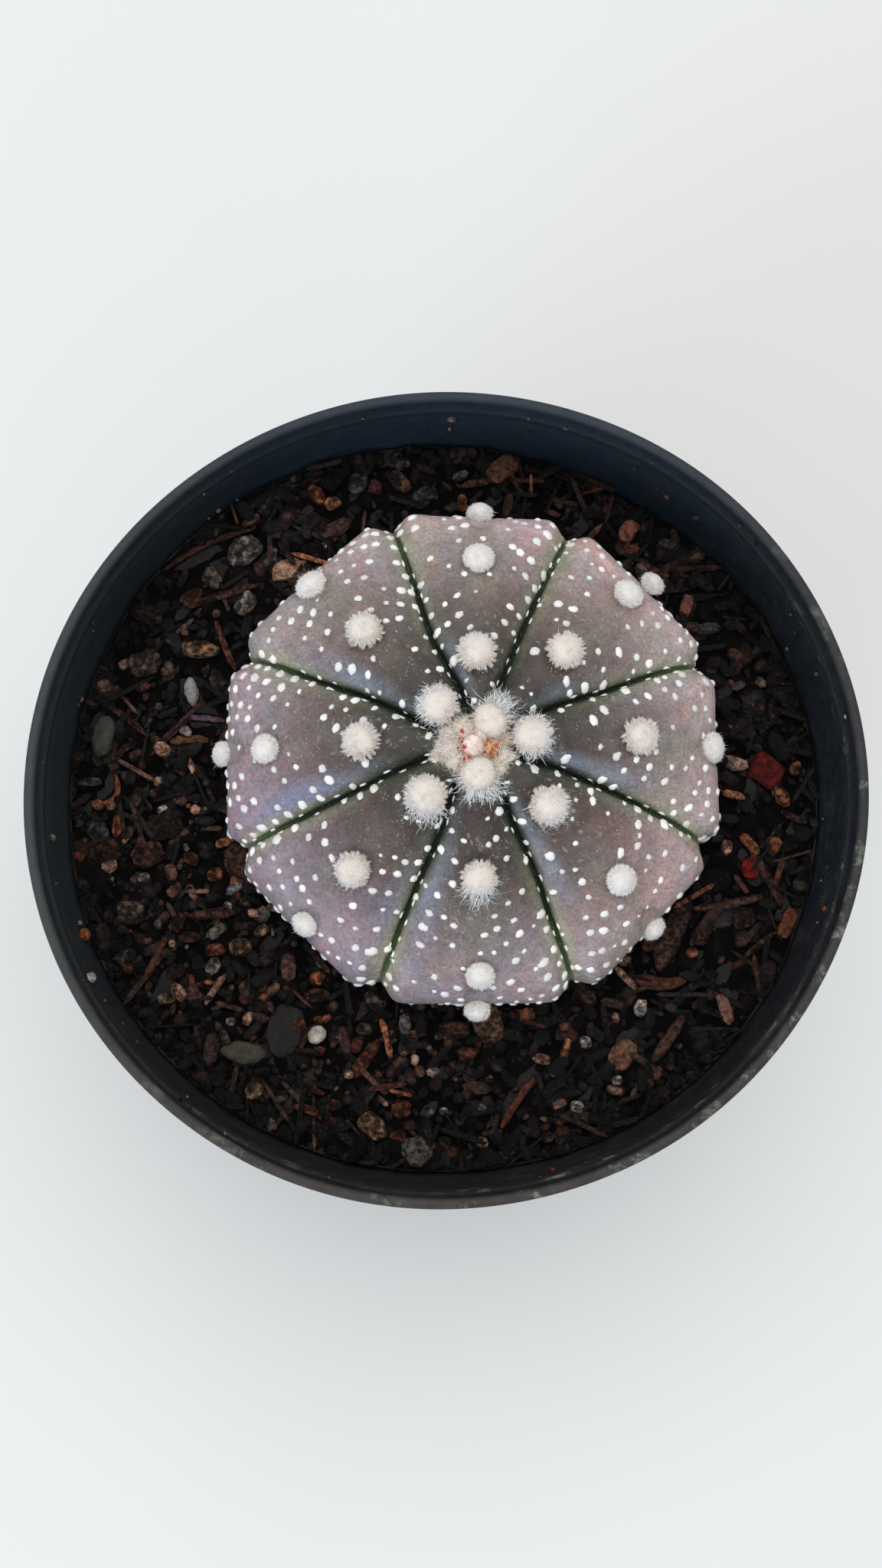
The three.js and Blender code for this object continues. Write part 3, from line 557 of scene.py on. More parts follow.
def build_body():
    per, nphi = 70, 150
    t = np.linspace(-1, 1, per, endpoint=False)
    s1 = 0.45 * t + 0.55 * np.sin(t * math.pi / 2)
    ribs = np.repeat(np.arange(8), per)
    s = np.tile(s1, 8)
    phi = np.concatenate([np.linspace(0.02, 1.75, nphi - 22), np.linspace(1.79, 3.0, 22)])
    R, P = np.meshgrid(ribs, phi)
    S, _ = np.meshgrid(s, phi)
    p, f = skin(R, S, P, True)
    n = len(ribs)
    verts = p.reshape(-1, 3)
    top = p[0].mean(0)
    bot = p[-1].mean(0)
    verts = np.vstack([verts, top, bot])
    quads = grid_faces(n, nphi)
    j = np.arange(n)
    cap = np.stack([np.full(n, len(verts) - 2), j, (j + 1) % n], -1)
    base = (nphi - 1) * n
    cap2 = np.stack([np.full(n, len(verts) - 1), base + (j + 1) % n, base + j], -1)
    # colours
    flat = {k: v.reshape(-1) for k, v in f.items()}
    q = p.reshape(-1, 3)
    rho = np.clip(flat["r"] / PLANT_RADIUS, 0, 1)
    stops = [0, 0.2, 0.33, 0.46, 0.59, 0.72, 0.855, 1.0]
    cols = np.array([lin(44, 37, 32), lin(48, 41, 36), lin(56, 47, 42), lin(73, 63, 58), lin(97, 84, 79),
                     lin(124, 109, 105), lin(148, 131, 128), lin(194, 173, 171)])
    col = np.stack([np.interp(rho, stops, cols[:, k]) for k in range(3)], -1)
    n1 = fbm(q / 5.0, 11, 4)
    n2 = fbm(q / 1.6, 12, 3)
    pink = smooth(-0.1, 0.5, n1)[:, None]
    col = col * (1 + pink * (np.array([1.10, 0.96, 1.0]) - 1))
    green = smooth(0.0, 0.5, -n1 + 0.25 * n2)[:, None]
    col = col * (1 + 0.5 * green * (np.array([0.93, 1.02, 0.90]) - 1))
    # painted sheen: a cool lavender reflection in streaks beside the grooves: rib, flank, distance out, length,
    # strength
    ang = flat["ang"]
    sheen_streak = np.zeros(len(q))
    for rib, flank, rc, ln, strong in SHEEN_STREAKS:
        one = (R.reshape(-1) == rib) & (np.sign(flat["s"]) == flank)
        wide = flat["away"] / (0.17 * flat["r"] + 0.5)
        sheen_streak += one * strong * np.exp(-((flat["r"] - rc) / ln) ** 2) * smooth(0.08, 0.40, wide) * (1 - smooth(0.40, 1.25, wide))
    sheen_streak = np.clip(sheen_streak * (1.15 + 0.35 * n1 + 0.2 * n2), 0, 1)[:, None]
    sheen_col = lin(117, 125, 138) * (1 - smooth(0.3, 0.8, rho))[:, None] + lin(141, 141, 156) * smooth(0.3, 0.8, rho)[:, None]
    col = col * (1 - 0.85 * sheen_streak) + sheen_col * 0.85 * sheen_streak
    # painted light: the side towards the window is painted cooler, and the right side and far rim are painted a little
    # lighter
    painted_rim_light = smooth(0.86, 0.96, rho) * np.cos(ang - math.radians(75))
    col = col * (1 + 0.10 * smooth(0.3, 0.6, rho) * np.cos(ang - math.radians(30)) + 0.05 * np.cos(ang) + 0.17 * painted_rim_light)[:, None]
    col = col * (1 + smooth(0.45, 0.6, rho)[:, None] * np.array([-0.02, 0.035, 0.035]))
    painted_window_light = (smooth(0.45, 0.75, rho) * np.clip(np.cos(ang - math.radians(222)), 0, 1))[:, None]
    col = col * (1 + painted_window_light * np.array([-0.05, -0.07, 0.10]))
    # warm grey-green along the groove edges
    edge = (np.exp(-((flat["away"] - 0.8) / 0.85) ** 2) * (1 - 0.8 * np.clip(sheen_streak[:, 0], 0, 1)) * 0.7)[:, None]
    er = smooth(0.25, 0.95, rho)[:, None]
    col = col * (1 - edge) + (lin(66, 72, 54) * (1 - er) + lin(152, 154, 128) * er) * edge
    # the midline between tufts is a little greyer and greener
    m = (np.exp(-(flat["mid"] / 1.7) ** 2) * smooth(0.4, 0.75, rho) * 0.5 * (0.6 + 0.5 * n2))[:, None]
    col = col * (1 - m) + lin(116, 114, 100) * m
    # painted contact shadow: the skin is darkened close round a tuft
    tuft_contact_shade = (np.exp(-((flat["near"] - 1.05) / 0.22) ** 2) * 0.30)[:, None]
    col = col * (1 - tuft_contact_shade) + lin(52, 46, 40) * tuft_contact_shade
    blot = fbm(q / 0.8, 14, 3)
    hue = fbm(q / 2.4, 15, 3)
    col = col * (1 + 0.26 * blot + 0.14 * n2)[:, None]
    col = col * (1 + hue[:, None] * np.array([0.14, 0.0, -0.12]))
    # scattered pale dust, thicker in patches
    dust = smooth(0.42, 0.62, fbm(q / 0.42, 16, 2)) * smooth(-0.15, 0.45, fbm(q / 6.0, 17, 3)) * smooth(0.15, 0.4, rho)
    col = col * (1 - 0.5 * dust[:, None]) + lin(196, 186, 176) * 0.5 * dust[:, None]
    # groove line: green, darkened by painted shade along the bottom of the crease
    w = 0.38 + 0.10 * n2 + 0.28 * (1 - smooth(4.5, 10, flat["r"]))
    gl = (1 - smooth(w - 0.14, w + 0.18, flat["away"])) * smooth(2.0, 4.0, flat["r"])
    gl = (gl * (1 - 0.4 * smooth(0.93, 1.0, rho)))[:, None]
    crease_shade = (1 - smooth(0.05, 0.22, flat["away"]))[:, None] * 0.55
    gcol = lin(26, 44, 22) * (1 - smooth(0.55, 1.0, rho))[:, None] + lin(62, 84, 40) * smooth(0.55, 1.0, rho)[:, None]
    gcol = gcol * (1 - crease_shade) * (0.45 + 0.55 * smooth(5, 12, flat["r"]))[:, None]
    col = col * (1 - gl) + gcol * gl
    # lower flank, corky towards the soil
    low = smooth(1.7, 2.1, flat["phi"])[:, None]
    col = col * (1 - low) + lin(120, 104, 88) * low
    col = np.vstack([col, lin(84, 74, 68), lin(90, 76, 62)])
    make_mesh("cactus_skin", verts, [quads, cap, cap2], M_SKIN, tint=col, replaces=["cactus_body"])


def build_flecks():
    ribs, ss, phis, sizes = [], [], [], []
    arc_phi = np.linspace(0.02, 2.0, 400)
    for rib in range(8):
        # distance along the midline from the crown
        pm, _ = skin(np.full(400, rib), np.zeros(400), arc_phi)
        arc = np.concatenate([[0], np.cumsum(np.linalg.norm(np.diff(pm, axis=0), axis=1))])
        a = 4.2 + rng.uniform(0, 0.6)
        k = 0
        while a < arc[-1] - 0.5:
            phi0 = np.interp(a, arc, arc_phi)
            _, f0 = skin(rib, 0.999, phi0)
            w = float(f0["mid"])                       # half width of the rib here
            for sgn in (-1, 1):
                lead = rng.uniform(0.70, 1.05)
                step = rng.uniform(1.45, 1.75)
                d = lead
                while d < w - 0.25:
                    dm = w - d                          # distance from the midline
                    keep = 0.74 if d < 1.6 else (0.70 if dm > 2.0 else 0.50)
                    if rib in (0, 1, 2):
                        keep *= 0.82
                    rim = smooth(arc[-1] - 16.0, arc[-1] - 9.0, a)
                    keep *= 0.93 + 0.13 * rim
                    if rho_keep(phi0) and rng.random() < keep:
                        aa = a - 0.42 * (w - dm) * 0 - 0.40 * dm + 0.30 * w + rng.normal(0, 0.20) * (1 - 0.55 * rim)
                        ph = np.interp(aa, arc, arc_phi)
                        ribs.append(rib)
                        ss.append(sgn * np.clip((dm + rng.normal(0, 0.18) * (1 - 0.3 * rim)) / w, 0.03, 0.96))
                        phis.append(ph)
                        base = 1.0 if d < 2.6 else 0.88
                        if dm < 1.8:
                            base *= 0.75
                        sizes.append(base * (0.50 + 0.70 * rng.random() ** 0.75) * (1.05 - 0.02 * rim))
                    d += step * rng.uniform(0.85, 1.2)
            a += rng.uniform(1.75, 2.3) if a > 26 else (rng.uniform(2.0, 2.6) if a > 11 else rng.uniform(2.4, 3.0))
            k += 1
    ribs, ss, phis, sizes = map(np.array, (ribs, ss, phis, sizes))
    p, n, ac, dn = frame_at(ribs, ss, phis)
    facts = skin(ribs, ss, phis)[1]
    ok = np.ones(len(ribs), bool)
    # keep clear of the tufts and of each other
    for ar, aa, pr, kind in AREOLES:
        c = frame_at(*locate(min(ar, 30.0), aa))[0]
        ok &= np.linalg.norm(p - c, axis=1) > pr + 0.35
    ok &= facts["away"] > 0.35
    idx = np.where(ok)[0]
    order = rng.permutation(idx)
    taken = []
    for i in order:
        lim = 0.85 if rng.random() < 0.3 else 1.15
        if not taken or np.min(np.linalg.norm(p[taken] - p[i], axis=1)) > lim:
            taken.append(i)
    t = np.array(sorted(taken))
    print("flecks", len(t))
    ribs, ss, phis, sizes = ribs[t], ss[t], phis[t], sizes[t]
    p, n, ac, dn = p[t], n[t], ac[t], dn[t]
    near_groove = skin(ribs, ss, phis)[1]["away"]
    # long axis: across the rib, the groove end leaning to the crown
    lean = np.radians(rng.normal(24, 9, len(t)))
    sg = np.sign(ss)[:, None]
    u = ac * sg * np.cos(lean)[:, None] - dn * np.sin(lean)[:, None]
    v = np.cross(n, u)
    long_ = 0.55 * sizes * rng.uniform(0.92, 1.18, len(t))
    short = 0.46 * sizes * rng.uniform(0.88, 1.1, len(t))
    # slim flecks on the groove walls
    gr, gs, gp, gsz = [], [], [], []
    for rib in range(8):
        for sgn in (-1, 1):
            r = 5.0 + rng.uniform(0, 2)
            while r < 30:
                ph = math.asin(min(r / PLANT_RADIUS, 0.999) ** (PROFILE_POWER / 2))
                half = float(skin(rib, 0.999, ph)[1]["mid"])
                gr.append(rib); gp.append(ph); gsz.append(rng.uniform(0.6, 1.1))
                gs.append(sgn * (1 - rng.uniform(0.30, 0.50) / half))
                r += rng.uniform(2.4, 5.6) * (1 if r < 22 else 0.75)
    gr, gs, gp, gsz = map(np.array, (gr, gs, gp, gsz))
    p2, n2, ac2, dn2 = frame_at(gr, gs, gp)
    P = np.vstack([p, p2]); N = np.vstack([n, n2])
    U = np.vstack([u, dn2]); V = np.vstack([v, np.cross(n2, dn2)])
    A = np.concatenate([long_, 0.46 * gsz]); B = np.concatenate([short, 0.20 * gsz])
    H = np.concatenate([rng.uniform(0.20, 0.30, len(t)) * np.sqrt(sizes), np.full(len(gr), 0.14)])
    # template dome
    nr = 12
    th = np.arange(nr) * TAU / nr
    rings = [(0.38, 0.93), (0.74, 0.62), (1.0, -0.25)]
    tv = [[0, 0, 1.0]]
    for rad, h in rings:
        tv += [[rad * math.cos(x), rad * math.sin(x), h] for x in th]
    tv = np.array(tv)
    tris = np.stack([np.zeros(nr, int), 1 + np.arange(nr), 1 + (np.arange(nr) + 1) % nr], -1)
    quads = grid_faces(nr, 3, start=1)
    m = len(P)
    X = np.repeat(tv[None], m, 0)
    wob = 1 + 0.09 * rng.normal(size=(m, len(tv)))
    wob[:, 0] = 1
    X[..., :2] *= wob[..., None]
    X[..., 2] *= 1 + 0.10 * rng.normal(size=(m, len(tv)))
    W = P[:, None] + U[:, None] * (X[..., :1] * A[:, None, None]) + V[:, None] * (X[..., 1:2] * B[:, None, None]) + N[:, None] * (X[..., 2:] * H[:, None, None])
    off = np.arange(m)[:, None, None] * len(tv)
    T = (tris[None] + off).reshape(-1, 3)
    Q = (quads[None] + off).reshape(-1, 4)
    white = lin(252, 251, 248)
    c = white * rng.uniform(0.72, 0.98, (m, 1)) * (1 + rng.normal(0, 0.012, (m, 3)))
    C = np.repeat(c[:, None], len(tv), 1).reshape(-1, 3)
    make_mesh("wool_flecks", W.reshape(-1, 3), [T, Q], M_FLECK, tint=C)
    # short stray fibres round each fleck
    k = 20
    th = rng.uniform(0, TAU, (m, k))
    rr = rng.uniform(0.45, 1.0, (m, k))
    root = P[:, None] + U[:, None] * (np.cos(th) * rr * A[:, None])[..., None] + V[:, None] * (np.sin(th) * rr * B[:, None])[..., None] + N[:, None] * 0.03
    d = U[:, None] * (np.cos(th) * A[:, None])[..., None] + V[:, None] * (np.sin(th) * B[:, None])[..., None]
    d /= np.linalg.norm(d, axis=-1, keepdims=True)
    d = d + N[:, None] * rng.uniform(0.1, 0.8, (m, k))[..., None]
    return root.reshape(-1, 3), d.reshape(-1, 3)


def rho_keep(phi):
    return phi < 1.95


def ribbons(root, direction, length, width, curl=0.2, segs=2, wave=0.0, gravity=None, seed=0, taper=0.75):
    """thin tapered blades; returns verts and faces"""
    g = np.random.default_rng(seed)
    n = len(root)
    d = direction / np.linalg.norm(direction, axis=1, keepdims=True)
    rnd = g.normal(size=(n, 3))
    side = np.cross(d, rnd)
    side /= np.linalg.norm(side, axis=1, keepdims=True)
    bend = np.cross(side, d)
    length = np.broadcast_to(length, (n,)).astype(float)
    width = np.broadcast_to(width, (n,)).astype(float)
    cu = g.normal(0, curl, n)
    cu2 = g.normal(0, wave, n)
    ph = g.uniform(0, TAU, n)
    fr = g.uniform(0.6, 1.3, n)
    pts = []
    for k in range(segs + 1):
        t = k / segs
        q = root + d * (length * t)[:, None] + bend * (length * cu * t * t)[:, None]
        if wave:
            q = q + side * (length * cu2 * (np.sin(ph + t * TAU * fr) - np.sin(ph)) * 0.5)[:, None] + bend * (length * wave * 0.5 * (np.cos(ph * 1.7 + t * TAU * fr) - np.cos(ph * 1.7)))[:, None]
        if gravity is not None:
            q = q + gravity * (length * t * t)[:, None]
        pts.append(q)
    verts = []
    for k in range(segs):
        w = width * (1 - taper * k / segs) / 2
        verts += [pts[k] - side * w[:, None], pts[k] + side * w[:, None]]
    verts.append(pts[-1])
    V = np.stack(verts, 1)
    m = V.shape[1]
    off = np.arange(n)[:, None, None] * m
    quads = np.array([[2 * k, 2 * k + 1, 2 * k + 3, 2 * k + 2] for k in range(segs - 1)]).reshape(-1, 4)
    tri = np.array([[2 * segs - 2, 2 * segs - 1, 2 * segs]])
    faces = [(tri[None] + off).reshape(-1, 3)]
    if len(quads):
        faces.append((quads[None] + off).reshape(-1, 4))
    return V.reshape(-1, 3), faces, m


def join(parts):
    """parts: list of (verts, faces, tint) -> one"""
    V, F, C, off = [], {}, [], 0
    for v, fs, c in parts:
        V.append(v)
        C.append(np.broadcast_to(c, (len(v), 3)))
        for f in fs:
            if len(f):
                F.setdefault(f.shape[1], []).append(np.asarray(f) + off)
        off += len(v)
    return np.vstack(V), [np.concatenate(x) for x in F.values()], np.vstack(C)


def ball(nu, nv):
    th = np.arange(nu) * TAU / nu
    ph = np.linspace(0, math.pi, nv + 2)[1:-1]
    P, T = np.meshgrid(ph, th, indexing="ij")
    v = np.stack([np.sin(P) * np.cos(T), np.sin(P) * np.sin(T), np.cos(P)], -1).reshape(-1, 3)
    v = np.vstack([v, [0, 0, 1], [0, 0, -1]])
    q = grid_faces(nu, nv)
    j = np.arange(nu)
    a = np.stack([np.full(nu, len(v) - 2), j, (j + 1) % nu], -1)
    b = np.stack([np.full(nu, len(v) - 1), (nv - 1) * nu + (j + 1) % nu, (nv - 1) * nu + j], -1)
    return v, [q, a, b]


CREAM, WHITE, WARM = lin(223, 214, 204), lin(221, 221, 222), lin(214, 184, 150)
COOL = lin(218, 224, 227)
ORANGE, RUST, PINK = lin(206, 142, 84), lin(168, 30, 44), lin(240, 218, 209)


def tuft(ar, aa, pr, kind, seed):
    """centre and axes of a woolly tuft"""
    rib, s, phi = locate(min(ar, 29.6), aa)
    p, n, ac, dn = frame_at(rib, s, phi)
    if ar > 29.6:                                     # tufts on the widest level stand out sideways
        flat = np.array([math.cos(math.radians(aa)), math.sin(math.radians(aa)), 0])
        n = n * 0.25 + flat * 0.8 + np.array([0, 0, 0.75])
        n /= np.linalg.norm(n)
        p = PLANT + flat * (ar - 0.1) + np.array([0, 0, 0.1 + 1.2 * max(0.0, math.sin(math.radians(aa)))])
        dn = dn - n * (dn @ n)
        dn /= np.linalg.norm(dn)
        ac = np.cross(n, dn)
    return p, n, ac, dn


def build_tufts(extra):
    cores, spiky, cotton, stray = [], [], [], []
    hair_stats = []
    bv, bf = ball(26, 16)
    for k, (ar, aa, pr, kind) in enumerate(AREOLES):
        g = np.random.default_rng(500 + k)
        p, n, ac, dn = tuft(ar, aa, pr, kind, k)
        tall = pr * (0.92 if kind == 1 else (0.85 if ar < 29.6 else 1.08))
        c = p + n * tall * 0.28
        q = bv.copy()
        lump = 1 + 0.10 * fbm(bv * 1.6 + k * 7.1, 40 + k, 3) + 0.05 * fbm(bv * 5 + k, 60 + k, 2)
        rad = pr * (0.93 if kind != 2 else 0.96)
        q = q * lump[:, None]
        W = c + ac * (q[:, :1] * rad) + dn * (q[:, 1:2] * rad) + n * (q[:, 2:] * tall * 0.88)
        # cream towards the crown side, whiter outwards
        t = np.clip(0.5 + 0.5 * bv[:, 1], 0, 1)[:, None]
        warm = 0.75 if kind == 1 else (0.95 if kind == 0 else 0.15)
        base = WHITE * (1 - warm) + CREAM * warm
        col = base * (0.55 + 0.45 * t) + (CREAM * 0.85 + WARM * 0.15) * (0.45 * (1 - t))
        col = col * (0.94 + 0.06 * fbm(bv * 6 + k, 90 + k, 2))[:, None]
        if kind == 2:
            col = col * 1.02
        if kind == 1:
            tip = smooth(0.90, 1.0, bv[:, 2])[:, None] * 0.15
            col = col * (1 - tip) + lin(226, 204, 180) * tip
        cores.append((W, bf, col))
        # fibres
        count = {0: 1500, 1: 2900, 2: 2300}[kind]
        z = g.uniform(-0.25, 1, count)
        th = g.uniform(0, TAU, count)
        sxy = np.sqrt(1 - z * z)
        loc = np.stack([sxy * np.cos(th), sxy * np.sin(th), z], -1)
        root = c + ac * (loc[:, :1] * rad * 0.92) + dn * (loc[:, 1:2] * rad * 0.92) + n * (loc[:, 2:] * tall * 0.82)
        d = ac * loc[:, :1] + dn * loc[:, 1:2] + n * (loc[:, 2:] * 0.9)
        if kind == 1:
            length = g.uniform(0.40, 0.9, count)
            width, spread, pull = 0.07, 0.11, 0.86
        elif kind == 0:
            length = g.uniform(0.45, 0.95, count)
            width, spread, pull = 0.07, 0.28, 0.6
        else:
            length = g.uniform(0.25, 0.55, count)
            width, spread, pull = 0.07, 0.45, 0.5
        # fibres gather into small pointed locks
        heads = g.choice(count, 120 if kind != 2 else 100, replace=False)
        lock = heads[np.argmax(loc @ loc[heads].T, axis=1)]
        reach = g.uniform(0.5, 1.15, count)[lock] * (0.85 if kind != 2 else 0.6)
        tip = root[lock] + (d / np.linalg.norm(d, axis=1, keepdims=True))[lock] * reach[:, None]
        aim = tip - root
        ln = np.linalg.norm(aim, axis=1, keepdims=True)
        aim = aim / ln
        # on top the wool is felted smooth, the locks stand out round the sides
        pl = (pull * smooth(0.80, 0.25, z))[:, None]
        d = d / np.linalg.norm(d, axis=1, keepdims=True) * (1 - pl) + aim * pl
        length = length * (1 - pl[:, 0]) * (1 - 0.62 * smooth(0.3, 0.8, z)) + ln[:, 0] * pl[:, 0] * g.uniform(0.7, 1.05, count)
        d = d + g.normal(0, 1.0, d.shape) * (spread * 0.5 + 0.45 * smooth(0.3, 0.8, z))[:, None]
        v, f, m = ribbons(root, d, length, width, curl=0.25 if kind == 1 else 0.6, segs=2, seed=700 + k)
        tt = np.clip(0.5 + 0.5 * loc[:, 1], 0, 1)[:, None]
        hc = WHITE * (0.45 + 0.55 * tt) + CREAM * (0.55 * (1 - tt))
        # painted shade: fibres low on the tuft, near the skin, are darker and bluer
        hc = hc * (0.75 + 0.25 * smooth(-0.2, 0.7, z))[:, None] + COOL * (0.25 * (1 - smooth(-0.2, 0.7, z)))[:, None]
        if kind == 0:
            hc = hc * 0.35 + lin(222, 209, 190) * 0.62
        if kind == 2:
            hc = WHITE * np.array([1.25, 1.23, 1.18]) * (1.04 - 0.06 * smooth(-0.2, 0.5, z) - 0.14 * smooth(0.45, 0.9, z))[:, None] + 0 * hc
        if kind == 1:
            hc = hc * np.array([1.12, 1.075, 1.05])
        warmlock = (g.random(count)[lock] < (0.12 if kind == 1 else 0.0))[:, None] * smooth(0.9, 0.2, tt)
        hc = hc * (1 - 0.5 * warmlock) + WARM * 0.5 * warmlock
        hc = np.minimum(hc * g.uniform(0.90, 1.04, (count, 1)), 1.0)
        hc = np.repeat(hc, m, 0)
        (spiky if kind != 2 else cotton).append((v, f, hc))
        hair_stats.append(count)
    v, f, c = join(cores)
    make_mesh("areole_felt", v, f, M_WOOL, tint=c)
    v, f, c = join(spiky)
    make_mesh("areole_wool_inner", v, f, M_HAIR, tint=c)
    v, f, c = join(cotton)
    make_mesh("areole_wool_outer", v, f, M_HAIR, tint=c)

    # long curly hairs that trail from some tufts and from the crown
    def trail(ar, aa, pr, count, toward, spread, lo, hi, seed, col=WHITE, w=0.045, lift=0.35):
        g = np.random.default_rng(seed)
        p, n, ac, dn = tuft(ar, aa, pr, 1, 0)
        a0 = math.radians(toward)
        flat = np.array([math.cos(a0), math.sin(a0), 0])
        flat = flat - n * (flat @ n)
        flat /= np.linalg.norm(flat)
        sidev = np.cross(n, flat)
        th = g.normal(0, spread, count)
        d = flat * np.cos(th)[:, None] + sidev * np.sin(th)[:, None] + n * g.normal(lift, 0.25, count)[:, None]
        root = p + flat * (pr * 0.75 * np.cos(th))[:, None] + sidev * (pr * 0.75 * np.sin(th))[:, None] + n * g.uniform(0.1, pr * 0.6, count)[:, None]
        v, f, m = ribbons(root, d, g.uniform(lo, hi, count), w, curl=0.55, segs=7, wave=0.30, seed=seed + 1,
                          gravity=-n * 0.36, taper=0.5)
        tone = g.uniform(0.35, 1.0, (count, 1))
        c = np.repeat(np.minimum((col * tone + COOL * (1 - tone)) * g.uniform(0.98, 1.26, (count, 1)), 1.0), m, 0)
        stray.append((v, f, c))
    trail(3.48, 271.4, 2.15, 230, 278, 0.62, 1.2, 2.9, 901, w=0.062)
    trail(8.48, 223.7, 2.35, 130, 262, 0.50, 1.0, 2.6, 903, w=0.062)
    trail(8.48, 223.7, 2.35, 110, 200, 0.9, 0.6, 1.3, 904, w=0.06)
    trail(10.97, 320.6, 2.25, 120, 310, 0.9, 0.7, 1.7, 905, w=0.06)
    trail(15.59, 271.0, 2.0, 160, 270, 0.55, 1.0, 2.8, 907, w=0.055)
    trail(6.64, 11.0, 2.25, 120, 290, 0.7, 0.8, 1.8, 909, w=0.06)
    trail(6.64, 11.0, 2.25, 70, 40, 0.6, 0.8, 1.8, 910, w=0.06)
    trail(3.54, 60.7, 2.1, 330, 62, 0.62, 1.2, 3.1, 911, w=0.065)
    trail(6.7, 133.4, 2.2, 190, 172, 0.75, 0.7, 1.7, 913, w=0.062)
    trail(6.7, 133.4, 2.2, 60, 95, 0.5, 0.6, 1.3, 914, w=0.06)
    trail(11.4, 90.2, 2.2, 80, 262, 0.9, 0.5, 1.2, 915, w=0.055)
    trail(15.79, 47.8, 2.15, 70, 10, 1.1, 0.5, 1.4, 916, w=0.055)
    trail(19.56, 133.4, 2.05, 60, 190, 1.2, 0.5, 1.3, 917, w=0.055)
    trail(20.72, 224.7, 2.0, 60, 225, 1.2, 0.5, 1.4, 919, w=0.055)
    trail(19.67, 4.4, 2.05, 60, 0, 1.3, 0.5, 1.4, 923, w=0.055)
    trail(13.82, 177.4, 2.1, 60, 190, 1.3, 0.5, 1.4, 925, w=0.055)
    for q, (ar, aa, pr, kind) in enumerate(AREOLES):
        if kind == 2 and ar < 29.9:
            trail(ar, aa, pr, 40, aa + 10 * (-1) ** q, 1.6, 0.35, 0.9, 1100 + q, w=0.05)
    # stray fibres lying on the skin below the second front tuft, and scattered fluff
    g = np.random.default_rng(931)
    n = 190
    aa = np.concatenate([g.normal(271, 9, 70), g.uniform(0, 360, n - 70)])
    ar = np.concatenate([g.uniform(17.5, 22.5, 70), g.uniform(6, 27, n - 70)])
    rib, s, phi = locate(ar, aa)
    p, nn, ac, dn = frame_at(rib, np.clip(s, -0.9, 0.9), phi)
    th = g.uniform(0, TAU, n)
    d = ac * np.cos(th)[:, None] + dn * np.sin(th)[:, None] + nn * 0.12
    L = np.concatenate([g.uniform(0.8, 2.2, 70), g.uniform(0.35, 1.1, n - 70)])
    v, f, m = ribbons(p + nn * 0.06, d, L, 0.035, curl=0.5, segs=7, wave=0.30, seed=933, gravity=-nn * 0.05)
    stray.append((v, f, np.repeat(WHITE * g.uniform(0.75, 1.0, (n, 1)), m, 0)))
    # fibres round the flecks
    root, d = extra
    v, f, m = ribbons(root, d, 0.07 + 0.26 * g.random(len(root)) ** 3, 0.06, curl=0.4, segs=1, seed=941)
    fl = (v, f, np.repeat(WHITE * g.uniform(0.85, 1.05, (len(root), 1)), m, 0))
    v, f, c = join([fl])
    make_mesh("fleck_fuzz", v, f, M_HAIR, tint=c)

    # crown: young tufts packed together over the growing point
    centre = np.array([PLANT[0], PLANT[1]])
    lumps = [  # dx, dy, radius, height, colour mix; from the plant's axis
        (-0.55, 0.1, 1.45, 1.9, PINK), (1.6, -0.2, 1.35, 1.5, ORANGE * 0.6 + WARM * 0.4), (-3.4, -0.1, 1.55, 1.35, CREAM),
        (-1.7, 2.0, 1.45, 1.4, CREAM * 0.8 + WARM * 0.2), (-2.7, -1.6, 1.35, 1.1, CREAM), (3.1, -1.2, 1.1, 1.1, CREAM),
        (0.6, 1.5, 1.2, 1.5, PINK * 0.5 + CREAM * 0.5), (2.5, -2.3, 1.05, 0.95, CREAM), (-1.5, -1.5, 0.95, 1.25, CREAM * 0.6 + WARM * 0.4),
        (-3.1, 1.4, 1.1, 1.0, CREAM), (3.2, 0.8, 0.8, 0.9, WARM), (-4.3, -1.0, 0.9, 0.8, WHITE)]
    cz = PLANT[2] + CROWN_RISE - 0.9
    parts, hairs = [], []
    for k, (dx, dy, rad, hgt, colr) in enumerate(lumps):
        g = np.random.default_rng(960 + k)
        lump = 1 + 0.14 * fbm(bv * 1.8 + k * 3.3, 70 + k, 3)
        c = np.array([centre[0] + dx, centre[1] + dy, cz + 0.1])
        W = c + bv * lump[:, None] * np.array([rad, rad, hgt])
        col = colr * (0.85 + 0.2 * fbm(bv * 4 + k, 80 + k, 2))[:, None]
        spot = smooth(0.15, 0.5, fbm(bv * 3.2 + 5 * k, 81 + k, 2))[:, None] * (0.75 if k == 1 else (0.45 if k in (3, 8) else 0.10))
        col = col * (1 - spot) + ORANGE * spot
        parts.append((W, bf, np.minimum(col * 1.28, 1)))
        count = int(950 * rad)
        z = g.uniform(-0.3, 1, count); th = g.uniform(0, TAU, count); sxy = np.sqrt(1 - z * z)
        loc = np.stack([sxy * np.cos(th), sxy * np.sin(th), z], -1)
        root = c + loc * np.array([rad, rad, hgt]) * 0.9
        away = np.array([dx, dy, 0]) / max(1.0, math.hypot(dx, dy))
        d = loc + g.normal(0, 0.45, loc.shape) + away * 0.25
        out = k not in (0, 1, 6, 8)
        v, f, m = ribbons(root, d, g.uniform(0.35, 1.0 if out else 0.7, count), 0.07, curl=0.7, segs=3, wave=0.15, seed=980 + k)
        pick = g.random((count, 1))
        hc = np.where(pick < 0.55, colr * 0.5 + WHITE * 0.5, np.where(pick < 0.85, CREAM, np.where(pick < 0.97, WARM, ORANGE)))
        if k in (1, 8):
            hc = np.where(pick < 0.38, WARM, np.where(pick < (0.66 if k == 1 else 0.5), ORANGE, np.where(pick < 0.95, CREAM * 1.05, ORANGE * 0.5)))
        if k in (2, 4, 5, 7, 9, 11):
